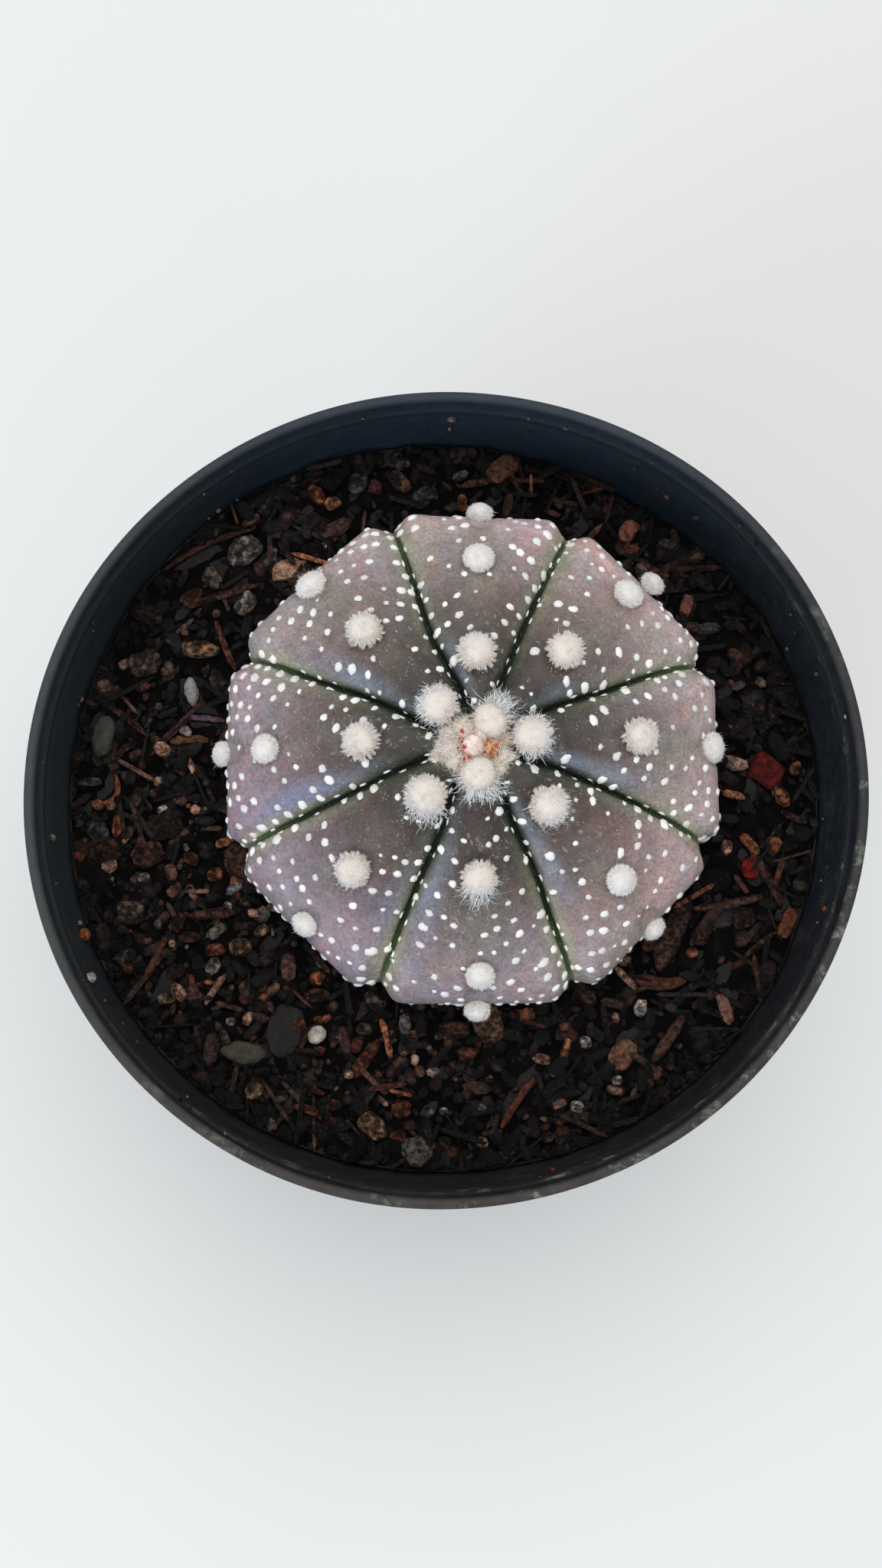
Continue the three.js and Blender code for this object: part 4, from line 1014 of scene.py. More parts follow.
            hc = np.where(pick < 0.45, WHITE * 1.10, np.where(pick < 0.80, CREAM * 1.08, lin(226, 206, 168)))
        hc = np.minimum(hc * g.uniform(0.92, 1.22, (count, 1)), 1)
        hairs.append((v, f, np.repeat(hc, m, 0)))
    # curly white fringe on the west side of the crown
    g = np.random.default_rng(997)
    cnt = 420
    th = np.radians(g.normal(184, 34, cnt))
    rad = g.uniform(2.6, 4.6, cnt)
    root = np.stack([centre[0] + rad * np.cos(th), centre[1] + rad * np.sin(th), cz + g.uniform(0.2, 1.0, cnt) * (1 - (rad - 2.6) / 3.2)], -1)
    d = np.stack([np.cos(th), np.sin(th), np.full(cnt, 0.35)], -1) + g.normal(0, 0.55, (cnt, 3))
    v, f, m = ribbons(root, d, g.uniform(0.6, 1.5, cnt), 0.065, curl=0.9, segs=5, wave=0.45, seed=998, taper=0.5)
    hc = np.where(g.random((cnt, 1)) < 0.75, WHITE * 1.22, CREAM * 1.18) * g.uniform(0.85, 1.0, (cnt, 1))
    hairs.append((v, f, np.repeat(hc, m, 0)))
    # red and rust specks between the young tufts
    g = np.random.default_rng(1001)
    sv, sf = ball(7, 4)
    spots = []
    for k in range(58):
        if k < 28:                                       # reds on the left of the centre
            x, y = centre[0] + g.normal(-1.95, 0.3), centre[1] + g.normal(0.1, 0.9)
        elif k < 48:                                     # rust on the orange lock
            x, y = centre[0] + g.normal(1.5, 0.55), centre[1] + g.normal(-0.3, 0.6)
        else:
            x, y = centre[0] + g.normal(-0.9, 0.9), centre[1] + g.normal(-1.5, 0.5)
        top = max([0.2] + [0.1 + h * math.sqrt(max(0, 1 - ((x - centre[0] - dx) ** 2 + (y - centre[1] - dy) ** 2) / (r_ * r_))) for dx, dy, r_, h, _ in lumps])
        sc = g.uniform(0.10, 0.20)
        W = np.array([x, y, cz + top + 0.30]) + sv * sc * np.array([1, 1.3, 0.8])
        spots.append((W, sf, (RUST if k < 28 else (lin(150, 62, 26) if g.random() < 0.6 else lin(104, 44, 24))) * g.uniform(0.8, 1.3)))
    v, f, c = join(parts)
    make_mesh("crown_felt", v, f, M_WOOL, tint=c)
    v, f, c = join(hairs + spots)
    make_mesh("crown_wool", v, f, M_HAIR, tint=c)
    v, f, c = join(stray)
    make_mesh("curly_hairs", v, f, M_HAIR, tint=c)


# ------------------------------------------------------------------- the pot
def build_pot():
    H, c = POT_HEIGHT, POT_HEIGHT - COLLAR_HEIGHT
    o, i = outer_radius, inner_radius
    pts = [
        (FOOT_RADIUS - 5.5, FLOOR_UNDER), (FOOT_RADIUS - 4.6, 0.25), (FOOT_RADIUS - 4.3, 0), (FOOT_RADIUS - 0.9, 0),
        (FOOT_RADIUS - 0.2, 0.25), (FOOT_RADIUS, 0.9), (o(15), 15), (o(30), 30), (o(48), 48), (o(c - 1.2), c - 1.2), (o(c - 0.35), c - 0.35),
        (o(c - 0.01) + 0.25, c - 0.02), (o(c + 0.4) - 0.15, c + 0.12), (o(c + 0.9), c + 0.9), (o(H - 8), H - 8), (o(H - 2.9) - 0.12, H - 2.9),
        (LIP_RADIUS - 0.08, H - 2.2), (LIP_RADIUS, H - 1.5), (LIP_RADIUS, H - 0.62), (LIP_RADIUS - 0.08, H - 0.3), (LIP_RADIUS - 0.25, H - 0.1),
        (LIP_RADIUS - 0.45, H), (LIP_RADIUS - LIP_WALL + 0.42, H), (LIP_RADIUS - LIP_WALL + 0.18, H - 0.1), (float(i(H - 0.45)), H - 0.4),
        (float(i(H - 1.0)), H - 1.0), (float(i(H - LEDGE_DROP + 0.15)), H - LEDGE_DROP + 0.15), (float(i(H - LEDGE_DROP + 0.02)) - 0.10, H - LEDGE_DROP + 0.03),
        (float(i(H - LEDGE_DROP - 0.1)) + 0.05, H - LEDGE_DROP - 0.06), (float(i(H - LEDGE_DROP - 0.3)), H - LEDGE_DROP - 0.3), (float(i(H - 7)), H - 7),
        (float(i(c - 0.9)), c - 0.9), (float(i(c - 3)), c - 3), (float(i(30)), 30), (float(i(FLOOR_TOP + 2)), FLOOR_TOP + 2),
        (float(i(FLOOR_TOP + 2)) - 1.6, FLOOR_TOP)]
    prof = np.array([(float(a), float(b)) for a, b in pts])
    n = 288
    th = np.arange(n) * TAU / n
    A, Rr = np.meshgrid(th, prof[:, 0])
    _, Z = np.meshgrid(th, prof[:, 1])
    k = oval(Z, A)
    # the thin wall is never perfectly true
    sway = 0.05 * np.sin(3 * A + 0.6) * (Z / H) + 0.03 * np.sin(7 * A + 2.0) * (Z / H)
    X, Y = (Rr + sway) * k * np.cos(A), (Rr + sway) * k * np.sin(A)
    verts = np.stack([X, Y, Z], -1).reshape(-1, 3)
    m = len(prof)
    faces = [grid_faces(n, m)[:, ::-1]]
    off = len(verts)
    verts = np.vstack([verts, [0, 0, FLOOR_UNDER], [0, 0, FLOOR_TOP]])
    j = np.arange(n)
    faces.append(np.stack([np.full(n, off), (j + 1) % n, j], -1))
    last = (m - 1) * n
    faces.append(np.stack([np.full(n, off + 1), last + j, last + (j + 1) % n], -1))
    ob = make_mesh("pot_shell", verts, faces, M_POT, replaces=["nursery_pot"])
    # drain holes
    bpy.context.view_layer.objects.active = ob
    cyl = []
    cv = []
    for q in range(8):
        a = (q + 0.5) * TAU / 8
        t = np.arange(24) * TAU / 24
        for zz in (-1.0, 5.0):
            cv.append(np.stack([24 * math.cos(a) + 2.5 * np.cos(t), 24 * math.sin(a) + 2.5 * np.sin(t), np.full(24, zz)], -1))
    cv = np.vstack(cv)
    sides, caps = [], []
    for q in range(8):
        b = q * 48
        t = np.arange(24)
        sides.append(np.stack([b + t, b + (t + 1) % 24, b + 24 + (t + 1) % 24, b + 24 + t], -1))
        caps += [(b + t[::-1])[None], (b + 24 + t)[None]]
    cutter = make_mesh("drain_cutter", cv, sides + caps, M_POT, body=None)
    mod = ob.modifiers.new("drain", "BOOLEAN")
    mod.operation, mod.object, mod.solver = "DIFFERENCE", cutter, "EXACT"
    bpy.context.view_layer.update()
    dg = bpy.context.evaluated_depsgraph_get()
    new = bpy.data.meshes.new_from_object(ob.evaluated_get(dg))
    ob.modifiers.clear()
    ob.data = new
    new.polygons.foreach_set("use_smooth", np.ones(len(new.polygons), bool))
    new.set_sharp_from_angle(angle=math.radians(50))
    bpy.data.objects.remove(cutter)


# ---------------------------------------------------------------- the mix
DARK = [lin(13, 11, 11), lin(19, 15, 14), lin(9, 9, 9), lin(29, 23, 21), lin(18, 16, 17), lin(25, 20, 19)]
BROWN = [lin(68, 48, 40), lin(82, 56, 45), lin(56, 41, 36), lin(98, 72, 58)]
RED = [lin(80, 42, 35), lin(96, 50, 40), lin(66, 38, 33)]
TAN = [lin(178, 134, 112), lin(150, 106, 86), lin(206, 168, 148), lin(160, 96, 62)]
GREY = [lin(84, 80, 76), lin(62, 61, 60), lin(118, 110, 104)]
PALE = [lin(168, 162, 150), lin(186, 180, 172)]


# paler crumbs and chips that stand out of the mix: x, y, length, width, turn, colour
# the few tones the paler grains and splinters come in
CHALK, ROSE, ASH, SLATE, STRAW = lin(200, 190, 180), lin(194, 146, 126), lin(150, 142, 134), lin(84, 80, 80), lin(154, 122, 96)
OCHRE, RUSSET, UMBER, SAND, MOLE = lin(158, 96, 62), lin(118, 70, 54), lin(92, 62, 52), lin(188, 124, 92), lin(108, 94, 84)
GRAINS = [
    (-25.7, 31.9, 4.6, 3.4, 30, ASH), (-25.6, 25.0, 3.2, 2.4, 60, ASH), (-31.3, 19.0, 4.6, 2.1, -4, STRAW),
    (-38.4, 17.0, 4.0, 3.2, 20, MOLE), (-43.9, -4.2, 3.4, 2.5, -60, SLATE), (-42.3, -8.7, 2.1, 1.7, 30, ROSE),
    (-43.9, -0.9, 1.8, 1.3, -20, SAND), (-16.7, 39.4, 2.9, 1.7, -55, OCHRE), (-30.0, 28.3, 3.0, 2.2, -50, MOLE),
    (-32.5, 25.8, 3.0, 2.0, 40, RUSSET), (14.9, -31.5, 3.4, 1.1, 72, SAND), (12.0, -32.7, 2.4, 1.3, -10, ROSE),
    (17.4, -30.5, 1.6, 1.4, 0, CHALK), (16.2, -38.5, 1.7, 1.5, 0, CHALK), (21.2, -35.2, 1.5, 1.3, 0, ASH),
    (12.5, -42.2, 1.6, 1.3, 0, MOLE), (24.3, -26.3, 2.1, 1.7, 80, CHALK), (2.6, -32.0, 2.3, 1.8, 10, RUSSET),
    (4.5, -42.9, 1.6, 1.3, 0, ROSE), (-9.2, -40.7, 4.0, 2.7, -50, STRAW), (-5.6, -38.8, 2.6, 2.2, 0, RUSSET),
    (-0.3, -39.0, 1.1, 1.0, 0, CHALK), (25.7, -18.3, 2.2, 2.0, 0, RUSSET), (31.0, -19.4, 1.6, 1.4, 0, OCHRE),
    (31.9, -17.5, 2.1, 1.9, 0, UMBER), (37.6, -15.0, 3.2, 2.7, 0, UMBER), (-29.1, -21.2, 2.3, 1.7, 60, ASH),
    (-26.7, -27.9, 1.3, 1.0, 0, CHALK), (-24.7, -27.6, 1.8, 1.2, 60, ROSE), (-33.2, -24.4, 2.3, 1.7, -50, ROSE),
    (-34.7, -25.0, 2.3, 1.5, 20, STRAW), (-16.1, -22.5, 2.3, 1.9, 0, OCHRE), (-25.6, -18.8, 2.7, 2.2, 0, STRAW),
    (-9.0, -25.4, 3.1, 2.4, -20, MOLE), (-23.8, -36.4, 2.4, 2.1, 0, STRAW),     (-27.4, -13.6, 1.2, 1.1, 0, CHALK),
    (-39.3, -14.5, 3.6, 3.0, 0, MOLE), (42.9, 0.5, 2.8, 1.8, -55, OCHRE),
    (-37.9, -10.1, 1.5, 1.2, 0, CHALK), (-37.4, -7.1, 4.0, 3.2, 20, UMBER), (-35.7, -1.5, 1.7, 1.3, 0, CHALK),
    (-32.1, -7.6, 2.2, 1.5, -20, RUSSET), (-29.1, -9.7, 2.2, 1.7, 10, OCHRE), (-27.8, -5.6, 2.5, 1.2, 10, SAND),
    (-21.5, -13.9, 2.2, 1.0, 0, ROSE), (-33.6, -15.7, 3.0, 1.8, 60, UMBER), (-23.1, -16.7, 2.0, 1.4, 30, STRAW),
    (-28.8, -19.1, 2.5, 1.8, 0, RUSSET), (-33.6, -21.8, 2.4, 1.7, 40, UMBER), (-32.0, -17.5, 2.5, 1.4, 10, UMBER),
    (-16.2, -24.7, 3.0, 1.8, 0, UMBER), (-18.2, -28.3, 1.6, 1.3, 0, OCHRE), (-15.9, -27.7, 1.4, 0.9, 0, OCHRE),
    (-15.8, -31.6, 1.6, 1.2, 0, RUSSET), (-10.2, -28.9, 2.0, 1.5, 0, MOLE), (-4.1, -29.6, 1.1, 1.0, 0, SAND),
    (-2.9, -29.3, 1.0, 0.9, 0, SAND), (-14.0, -38.2, 2.0, 1.4, 20, RUSSET), (-6.0, -42.1, 2.0, 1.5, 0, RUSSET),
    (-40.0, -20.0, 2.6, 1.8, 30, SLATE), (-39.7, -21.2, 2.0, 1.4, -40, RUSSET), (2.1, 38.8, 2.5, 1.2, 85, OCHRE),
    (-14.7, 38.3, 2.2, 1.6, 20, SAND), (-2.7, 39.7, 3.4, 2.6, 30, SLATE), (-11.4, 41.1, 3.0, 2.3, 60, SLATE),
    (-6.2, 44.1, 3.0, 2.0, -30, SLATE), (35.7, -6.1, 2.0, 1.5, 75, ROSE), (44.8, 4.1, 2.1, 1.5, 70, RUSSET)]
# splinters and twigs on top: x, y, length, width, turn, bend, colour
TWIGS = [
    (-28.4, 25.9, 9.4, 1.0, 19, 0.5, UMBER), (-28.1, 19.5, 6.9, 0.9, -68, -0.3, RUSSET),
    (-40.6, 10.0, 6.3, 0.9, -37, 0.3, UMBER), (-41.1, 5.7, 3.0, 0.9, 45, 0.1, UMBER),
    (28.5, -17.5, 8.6, 3.0, 66, 0.4, UMBER), (35.5, -13.1, 9.1, 1.2, 10, -0.5, UMBER),
    (40.7, -10.1, 7.7, 1.2, -62, 0.5, UMBER), (39.4, -18.5, 5.4, 0.7, 38, 0.2, UMBER),
    (22.5, -22.6, 3.6, 1.0, -48, 0.1, ROSE), (27.6, -30.1, 6.9, 1.5, 56, -0.4, UMBER),
    (-44.9, 1.9, 2.8, 1.1, 4, 0.1, MOLE), (-41.3, -3.5, 2.8, 1.4, 83, 0.2, OCHRE),
    (-29.3, -14.7, 5.6, 1.3, 5, 0.2, UMBER), (-7.5, -30.1, 4.9, 0.9, -76, 0.2, SAND),
    (-9.9, -32.5, 5.3, 1.7, 56, 0.3, RUSSET), (-17.7, -30.5, 1.8, 0.7, 64, 0.1, RUSSET),
    (-16.4, -35.9, 3.0, 0.8, -36, -0.6, RUSSET), (-27.8, -29.3, 3.0, 1.0, -60, 0.1, SLATE),
    (4.3, 41.5, 4.5, 1.0, 10, 0.2, UMBER), (36.6, 0.5, 2.9, 1.1, -13, 0.1, SAND),
    (38.7, -5.7, 3.2, 1.3, -48, 0.2, OCHRE), (44.4, -2.2, 3.4, 0.9, -24, -0.2, UMBER),
    (-17.3, -38.7, 2.9, 1.1, -17, 0.2, RUSSET)]


def template(nu, nv, e, seed, amp):
    v, f = ball(nu, nv)
    s = np.sign(v) * np.abs(v) ** e
    s = s / np.max(np.abs(s), axis=0)
    s = s * (1 + amp * fbm(v * 1.5 + seed * 3.7, seed, 2))[:, None]
    return s, f


def scatter(name, n, shapes, sizes, mat, palette, weights, seed, lift, tilt, region=None, inside=0.35, zone=None):
    g = np.random.default_rng(seed)
    parts = []
    xs = []
    need = n
    X = np.zeros((0, 2))
    while len(X) < n:
        r = 48.5 * np.sqrt(g.random(n * 3)); a = g.uniform(0, TAU, n * 3)
        q = np.stack([r * np.cos(a), r * np.sin(a)], -1)
        keep = np.hypot(q[:, 0] - PLANT[0], q[:, 1] - PLANT[1]) > 26.5
        if zone is not None:
            keep &= g.random(len(q)) < zone(q)
        X = np.vstack([X, q[keep]])
    X = X[:n]
    L = sizes(g, n)                                    # (n, 3) full length, width, thickness
    yaw = g.uniform(0, TAU, n)
    tx, ty = g.normal(0, tilt, n), g.normal(0, tilt, n)
    az = np.arctan2(X[:, 1], X[:, 0])
    ext = (np.abs(L[:, 0] * np.cos(yaw - az)) + np.abs(L[:, 1] * np.sin(yaw - az))) / 2
    z = mix_top(X[:, 0], X[:, 1])
    lim = inner_radius(z + 0.5) * oval(z, az) - inside - ext
    rad = np.hypot(X[:, 0], X[:, 1])
    f = np.minimum(1, lim / rad)
    X = X * f[:, None]
    # keep clear of the plant
    dp = X - PLANT[:2]
    dist = np.hypot(dp[:, 0], dp[:, 1])
    ap = np.arctan2(dp[:, 1], dp[:, 0])
    ext2 = (np.abs(L[:, 0] * np.cos(yaw - ap)) + np.abs(L[:, 1] * np.sin(yaw - ap))) / 2
    ok = dist - ext2 > 27.6
    # leave the larger loose pieces lying free
    for _, kind, px, py, turn, size, *_ in LOOSE:
        ca, sa = math.cos(math.radians(turn)), math.sin(math.radians(turn))
        du = (X[:, 0] - px) * ca + (X[:, 1] - py) * sa
        dv = -(X[:, 0] - px) * sa + (X[:, 1] - py) * ca
        thin = abs(size[2]) * 0.35 if kind == "stick" else 0.0
        ok &= ~((np.abs(du) < size[0] / 2 + L[:, 1] * 0.25) & (np.abs(dv) < size[1] / 2 + thin + L[:, 1] * 0.25))
    for px, py, glen, gwid, *_ in GRAINS:
        ok &= np.hypot(X[:, 0] - px, X[:, 1] - py) > 0.42 * glen + 0.22 * L[:, 0]
    for px, py, glen, gwid, turn, *_ in TWIGS:
        ca, sa = math.cos(math.radians(turn)), math.sin(math.radians(turn))
        du = (X[:, 0] - px) * ca + (X[:, 1] - py) * sa
        dv = -(X[:, 0] - px) * sa + (X[:, 1] - py) * ca
        ok &= ~((np.abs(du) < glen / 2) & (np.abs(dv) < gwid / 2 + L[:, 1] * 0.3) & (L[:, 0] > 1.2))
    z = mix_top(X[:, 0], X[:, 1]) + lift(g, n, L)
    cy, sy = np.cos(yaw), np.sin(yaw)
    Rz = np.zeros((n, 3, 3)); Rz[:, 0, 0] = cy; Rz[:, 0, 1] = -sy; Rz[:, 1, 0] = sy; Rz[:, 1, 1] = cy; Rz[:, 2, 2] = 1
    Rx = np.zeros((n, 3, 3)); Rx[:, 0, 0] = 1; Rx[:, 1, 1] = np.cos(tx); Rx[:, 1, 2] = -np.sin(tx); Rx[:, 2, 1] = np.sin(tx); Rx[:, 2, 2] = np.cos(tx)
    Ry = np.zeros((n, 3, 3)); Ry[:, 1, 1] = 1; Ry[:, 0, 0] = np.cos(ty); Ry[:, 0, 2] = np.sin(ty); Ry[:, 2, 0] = -np.sin(ty); Ry[:, 2, 2] = np.cos(ty)
    Rm = Rz @ Ry @ Rx
    which = g.integers(0, len(shapes), n)
    pal = [np.array(x) for x in palette]
    w = np.array(weights, float); w /= w.sum()
    fam = g.choice(len(pal), n, p=w)
    V, C, F, off = [], [], {}, 0
    for k, (sv, sf) in enumerate(shapes):
        idx = np.where((which == k) & ok)[0]
        if not len(idx):
            continue
        loc = sv[None] * (L[idx][:, None] / 2)
        W = np.einsum("nij,nkj->nki", Rm[idx], loc) + np.stack([X[idx, 0], X[idx, 1], z[idx]], -1)[:, None]
        col = np.stack([pal[fam[i]][g.integers(0, len(pal[fam[i]]))] for i in idx]) * g.uniform(0.55, 1.3, (len(idx), 1))
        # paler towards the west, and darkened by painted shade close to the wall
        rk = np.hypot(X[idx, 0], X[idx, 1])
        col = col * ((1.04 + 0.34 * np.cos(az[idx] - math.radians(168))) * (1 - 0.78 * smooth(40.5, 46.0, rk)))[:, None]
        flatW = W.reshape(-1, 3)
        # painted shade: pieces and faces lying low in the mix are darkened, those standing high are lighter
        high = flatW[:, 2] - mix_top(flatW[:, 0], flatW[:, 1])
        shade = (1 + 0.45 * fbm(flatW / 0.7, 5 + k, 2)) * (0.16 + 1.30 * smooth(0.1, 1.6, high))
        V.append(W.reshape(-1, 3))
        C.append(np.repeat(col, len(sv), 0) * shade[:, None])
        for f_ in sf:
            F.setdefault(f_.shape[1], []).append((f_[None] + (off + np.arange(len(idx)) * len(sv))[:, None, None]).reshape(-1, f_.shape[1]))
        off += len(idx) * len(sv)
    return make_mesh(name, np.vstack(V), [np.concatenate(x) for x in F.values()], mat, smooth_shade=False, tint=np.vstack(C))


def build_mix():
    # settled ground between the pieces
    nu, nv = 390, 64
    th = np.arange(nu) * TAU / nu
    t = np.linspace(0, 1, nv)
    inner = 26.0
    verts, cols = [], []
    for k in range(nv):
        cxy = PLANT[:2] * (1 - t[k])
        z0 = 67.0
        ro = inner_radius(z0) - 0.25
        r = inner + (ro - inner) * t[k]
        x, y = cxy[0] + r * np.cos(th), cxy[1] + r * np.sin(th)
        a = np.arctan2(y, x)
        kk = 1 + (oval(67.0, a) - 1) * t[k]
        x, y = x * kk, y * kk
        z = mix_top(x, y)
        if k == nv - 1:
            z = z - 1.2
        verts.append(np.stack([x, y, z], -1))
    v = np.stack(verts)
    h = 0.85 * fbm(v / 1.7, 21, 4) + 0.35 * np.abs(fbm(v / 0.7, 22, 2))
    hollow = 0.30 + 0.14 * fbm(v / 0.55, 23, 2)
    v[..., 2] += np.maximum(h * np.concatenate([np.full(nv - 1, 1.0), [0.3]])[:, None] + 0.15, hollow)
    # lie lower under the larger loose pieces
    for _, kind, px, py, turn, size, *_ in LOOSE:
        ca, sa = math.cos(math.radians(turn)), math.sin(math.radians(turn))
        du = np.abs((v[..., 0] - px) * ca + (v[..., 1] - py) * sa) - size[0] / 2
        dv = np.abs(-(v[..., 0] - px) * sa + (v[..., 1] - py) * ca) - size[1] / 2
        under = (1 - smooth(0.0, 1.0, du)) * (1 - smooth(0.0, 1.0, dv))
        v[..., 2] -= under * np.maximum(h + 0.35, 0)
    # painted shade: the ground is darker in its hollows and lighter on its rises
    c = DARK[2] * 0.7 + (smooth(-0.1, 0.8, h)[..., None]) * (lin(26, 20, 18) - DARK[2])
    make_mesh("mix_ground", v.reshape(-1, 3), [grid_faces(nu, nv)[:, ::-1]], M_SOIL, tint=c.reshape(-1, 3))

    def left_front(q):
        return 0.35 + 0.65 * smooth(-5, 30, -q[:, 0] * 0.6 - q[:, 1] * 0.8)
    crumbs = [template(7, 4, 0.85, 200 + k, 0.30) for k in range(9)]

    def crumb_size(g, n):
        s = g.uniform(0.45, 1.5, n) ** 1.15
        return np.stack([s * g.uniform(0.9, 1.5, n), s * g.uniform(0.7, 1.1, n), s * g.uniform(0.55, 1.0, n)], -1)
    scatter("mix_crumbs", 3000, crumbs, crumb_size, M_CRUMB, [DARK, BROWN, RED, TAN, GREY, PALE], [0.61, 0.24, 0.05, 0.05, 0.045, 0.005], 301,
            lambda g, n, L: g.uniform(-0.2, 0.75, n), 0.5, zone=left_front)
    slabs = [template(8, 5, 0.72, 240 + k, 0.22) for k in range(9)]

    def slab_size(g, n):
        s = 1.1 + 3.2 * g.random(n) ** 1.5
        return np.stack([s, s * g.uniform(0.3, 0.62, n), s * g.uniform(0.22, 0.42, n)], -1)
    scatter("mix_chips", 1150, slabs, slab_size, M_BARK, [DARK, BROWN, RED, TAN, GREY], [0.63, 0.23, 0.05, 0.045, 0.045], 303,
            lambda g, n, L: g.uniform(-0.1, 1.0, n), 0.62)
    # bigger lumps half buried, mostly grey and on the west side
    lumps = [template(14, 9, 0.74, 260 + k, 0.34) for k in range(8)]

    def lump_size(g, n):
        s = g.uniform(2.8, 6.0, n)
        return np.stack([s, s * g.uniform(0.5, 0.8, n), s * g.uniform(0.36, 0.52, n)], -1)
    scatter("mix_lumps", 64, lumps, lump_size, M_LUMP, [DARK, GREY, BROWN], [0.50, 0.24, 0.26], 304,
            lambda g, n, L: g.uniform(0.1, 0.8, n), 0.3, zone=lambda q: 0.3 + 0.7 * smooth(5, 30, -q[:, 0] * 0.9 + q[:, 1] * 0.3))
    sticks = [template(6, 4, 0.45, 280 + k, 0.18) for k in range(6)]

    def stick_size(g, n):
        s = g.uniform(2.2, 7.5, n)
        return np.stack([s, g.uniform(0.3, 0.8, n), g.uniform(0.25, 0.6, n)], -1)
    scatter("mix_fibres", 430, sticks, stick_size, M_BARK, [DARK, BROWN, RED, TAN[1:4:2]], [0.60, 0.26, 0.10, 0.04], 305,
            lambda g, n, L: g.uniform(0.5, 1.35, n), 0.16)


# -------------------------------------------------------- named loose pieces
def fbm_shape(length, width, thick, e, seed, amp, nu=28, nv=18, strata=0.0):
    v, f = ball(nu, nv)
    s = np.sign(v) * np.abs(v) ** e
    s = s / np.max(np.abs(s), axis=0)
    lump = 1 + amp * fbm(v * 1.7 + seed * 2.3, seed, 3)
    s = s * lump[:, None] * np.array([length, width, thick]) / 2
    nrm = v / np.linalg.norm(v, axis=1, keepdims=True)
    s = s + nrm * (0.05 * min(length, 5) * fbm(s / 0.9, seed + 1, 3))[:, None]
    if strata:
        s[:, 2] += strata * np.sin(s[:, 1] * 5.0 + 1.3 * np.sin(s[:, 0])) * np.abs(nrm[:, 2])
    return s, f


def bent(length, width, bend, seed, nseg=18, nring=10, flatness=0.8):
    t = np.linspace(0, 1, nseg)
    cx = -length / 2 + length * t
    cy = 2 * bend * t * (1 - t)
    wob = 0.12 * width
    V = []
    for k in range(nseg):
        taper = min(1, 0.45 + 3.0 * min(t[k], 1 - t[k]))
        for j in range(nring):
            a = TAU * j / nring
            rr = width / 2 * taper * (1 + 0.22 * vnoise(np.array([[math.cos(a) * 1.5 + seed, math.sin(a) * 1.5, t[k] * length * 0.9]]), seed)[0])
            V.append([cx[k] + wob * math.sin(a * 2 + seed), cy[k] + rr * math.cos(a), rr * math.sin(a) * flatness])
    V = np.array(V)
    n = len(V)
    V = np.vstack([V, [cx[0] - 0.1, cy[0], 0], [cx[-1] + 0.1, cy[-1], 0]])
    j = np.arange(nring)
    f = [grid_faces(nring, nseg), np.stack([np.full(nring, n), j, (j + 1) % nring], -1),
         np.stack([np.full(nring, n + 1), (nseg - 1) * nring + (j + 1) % nring, (nseg - 1) * nring + j], -1)]
    return V, f


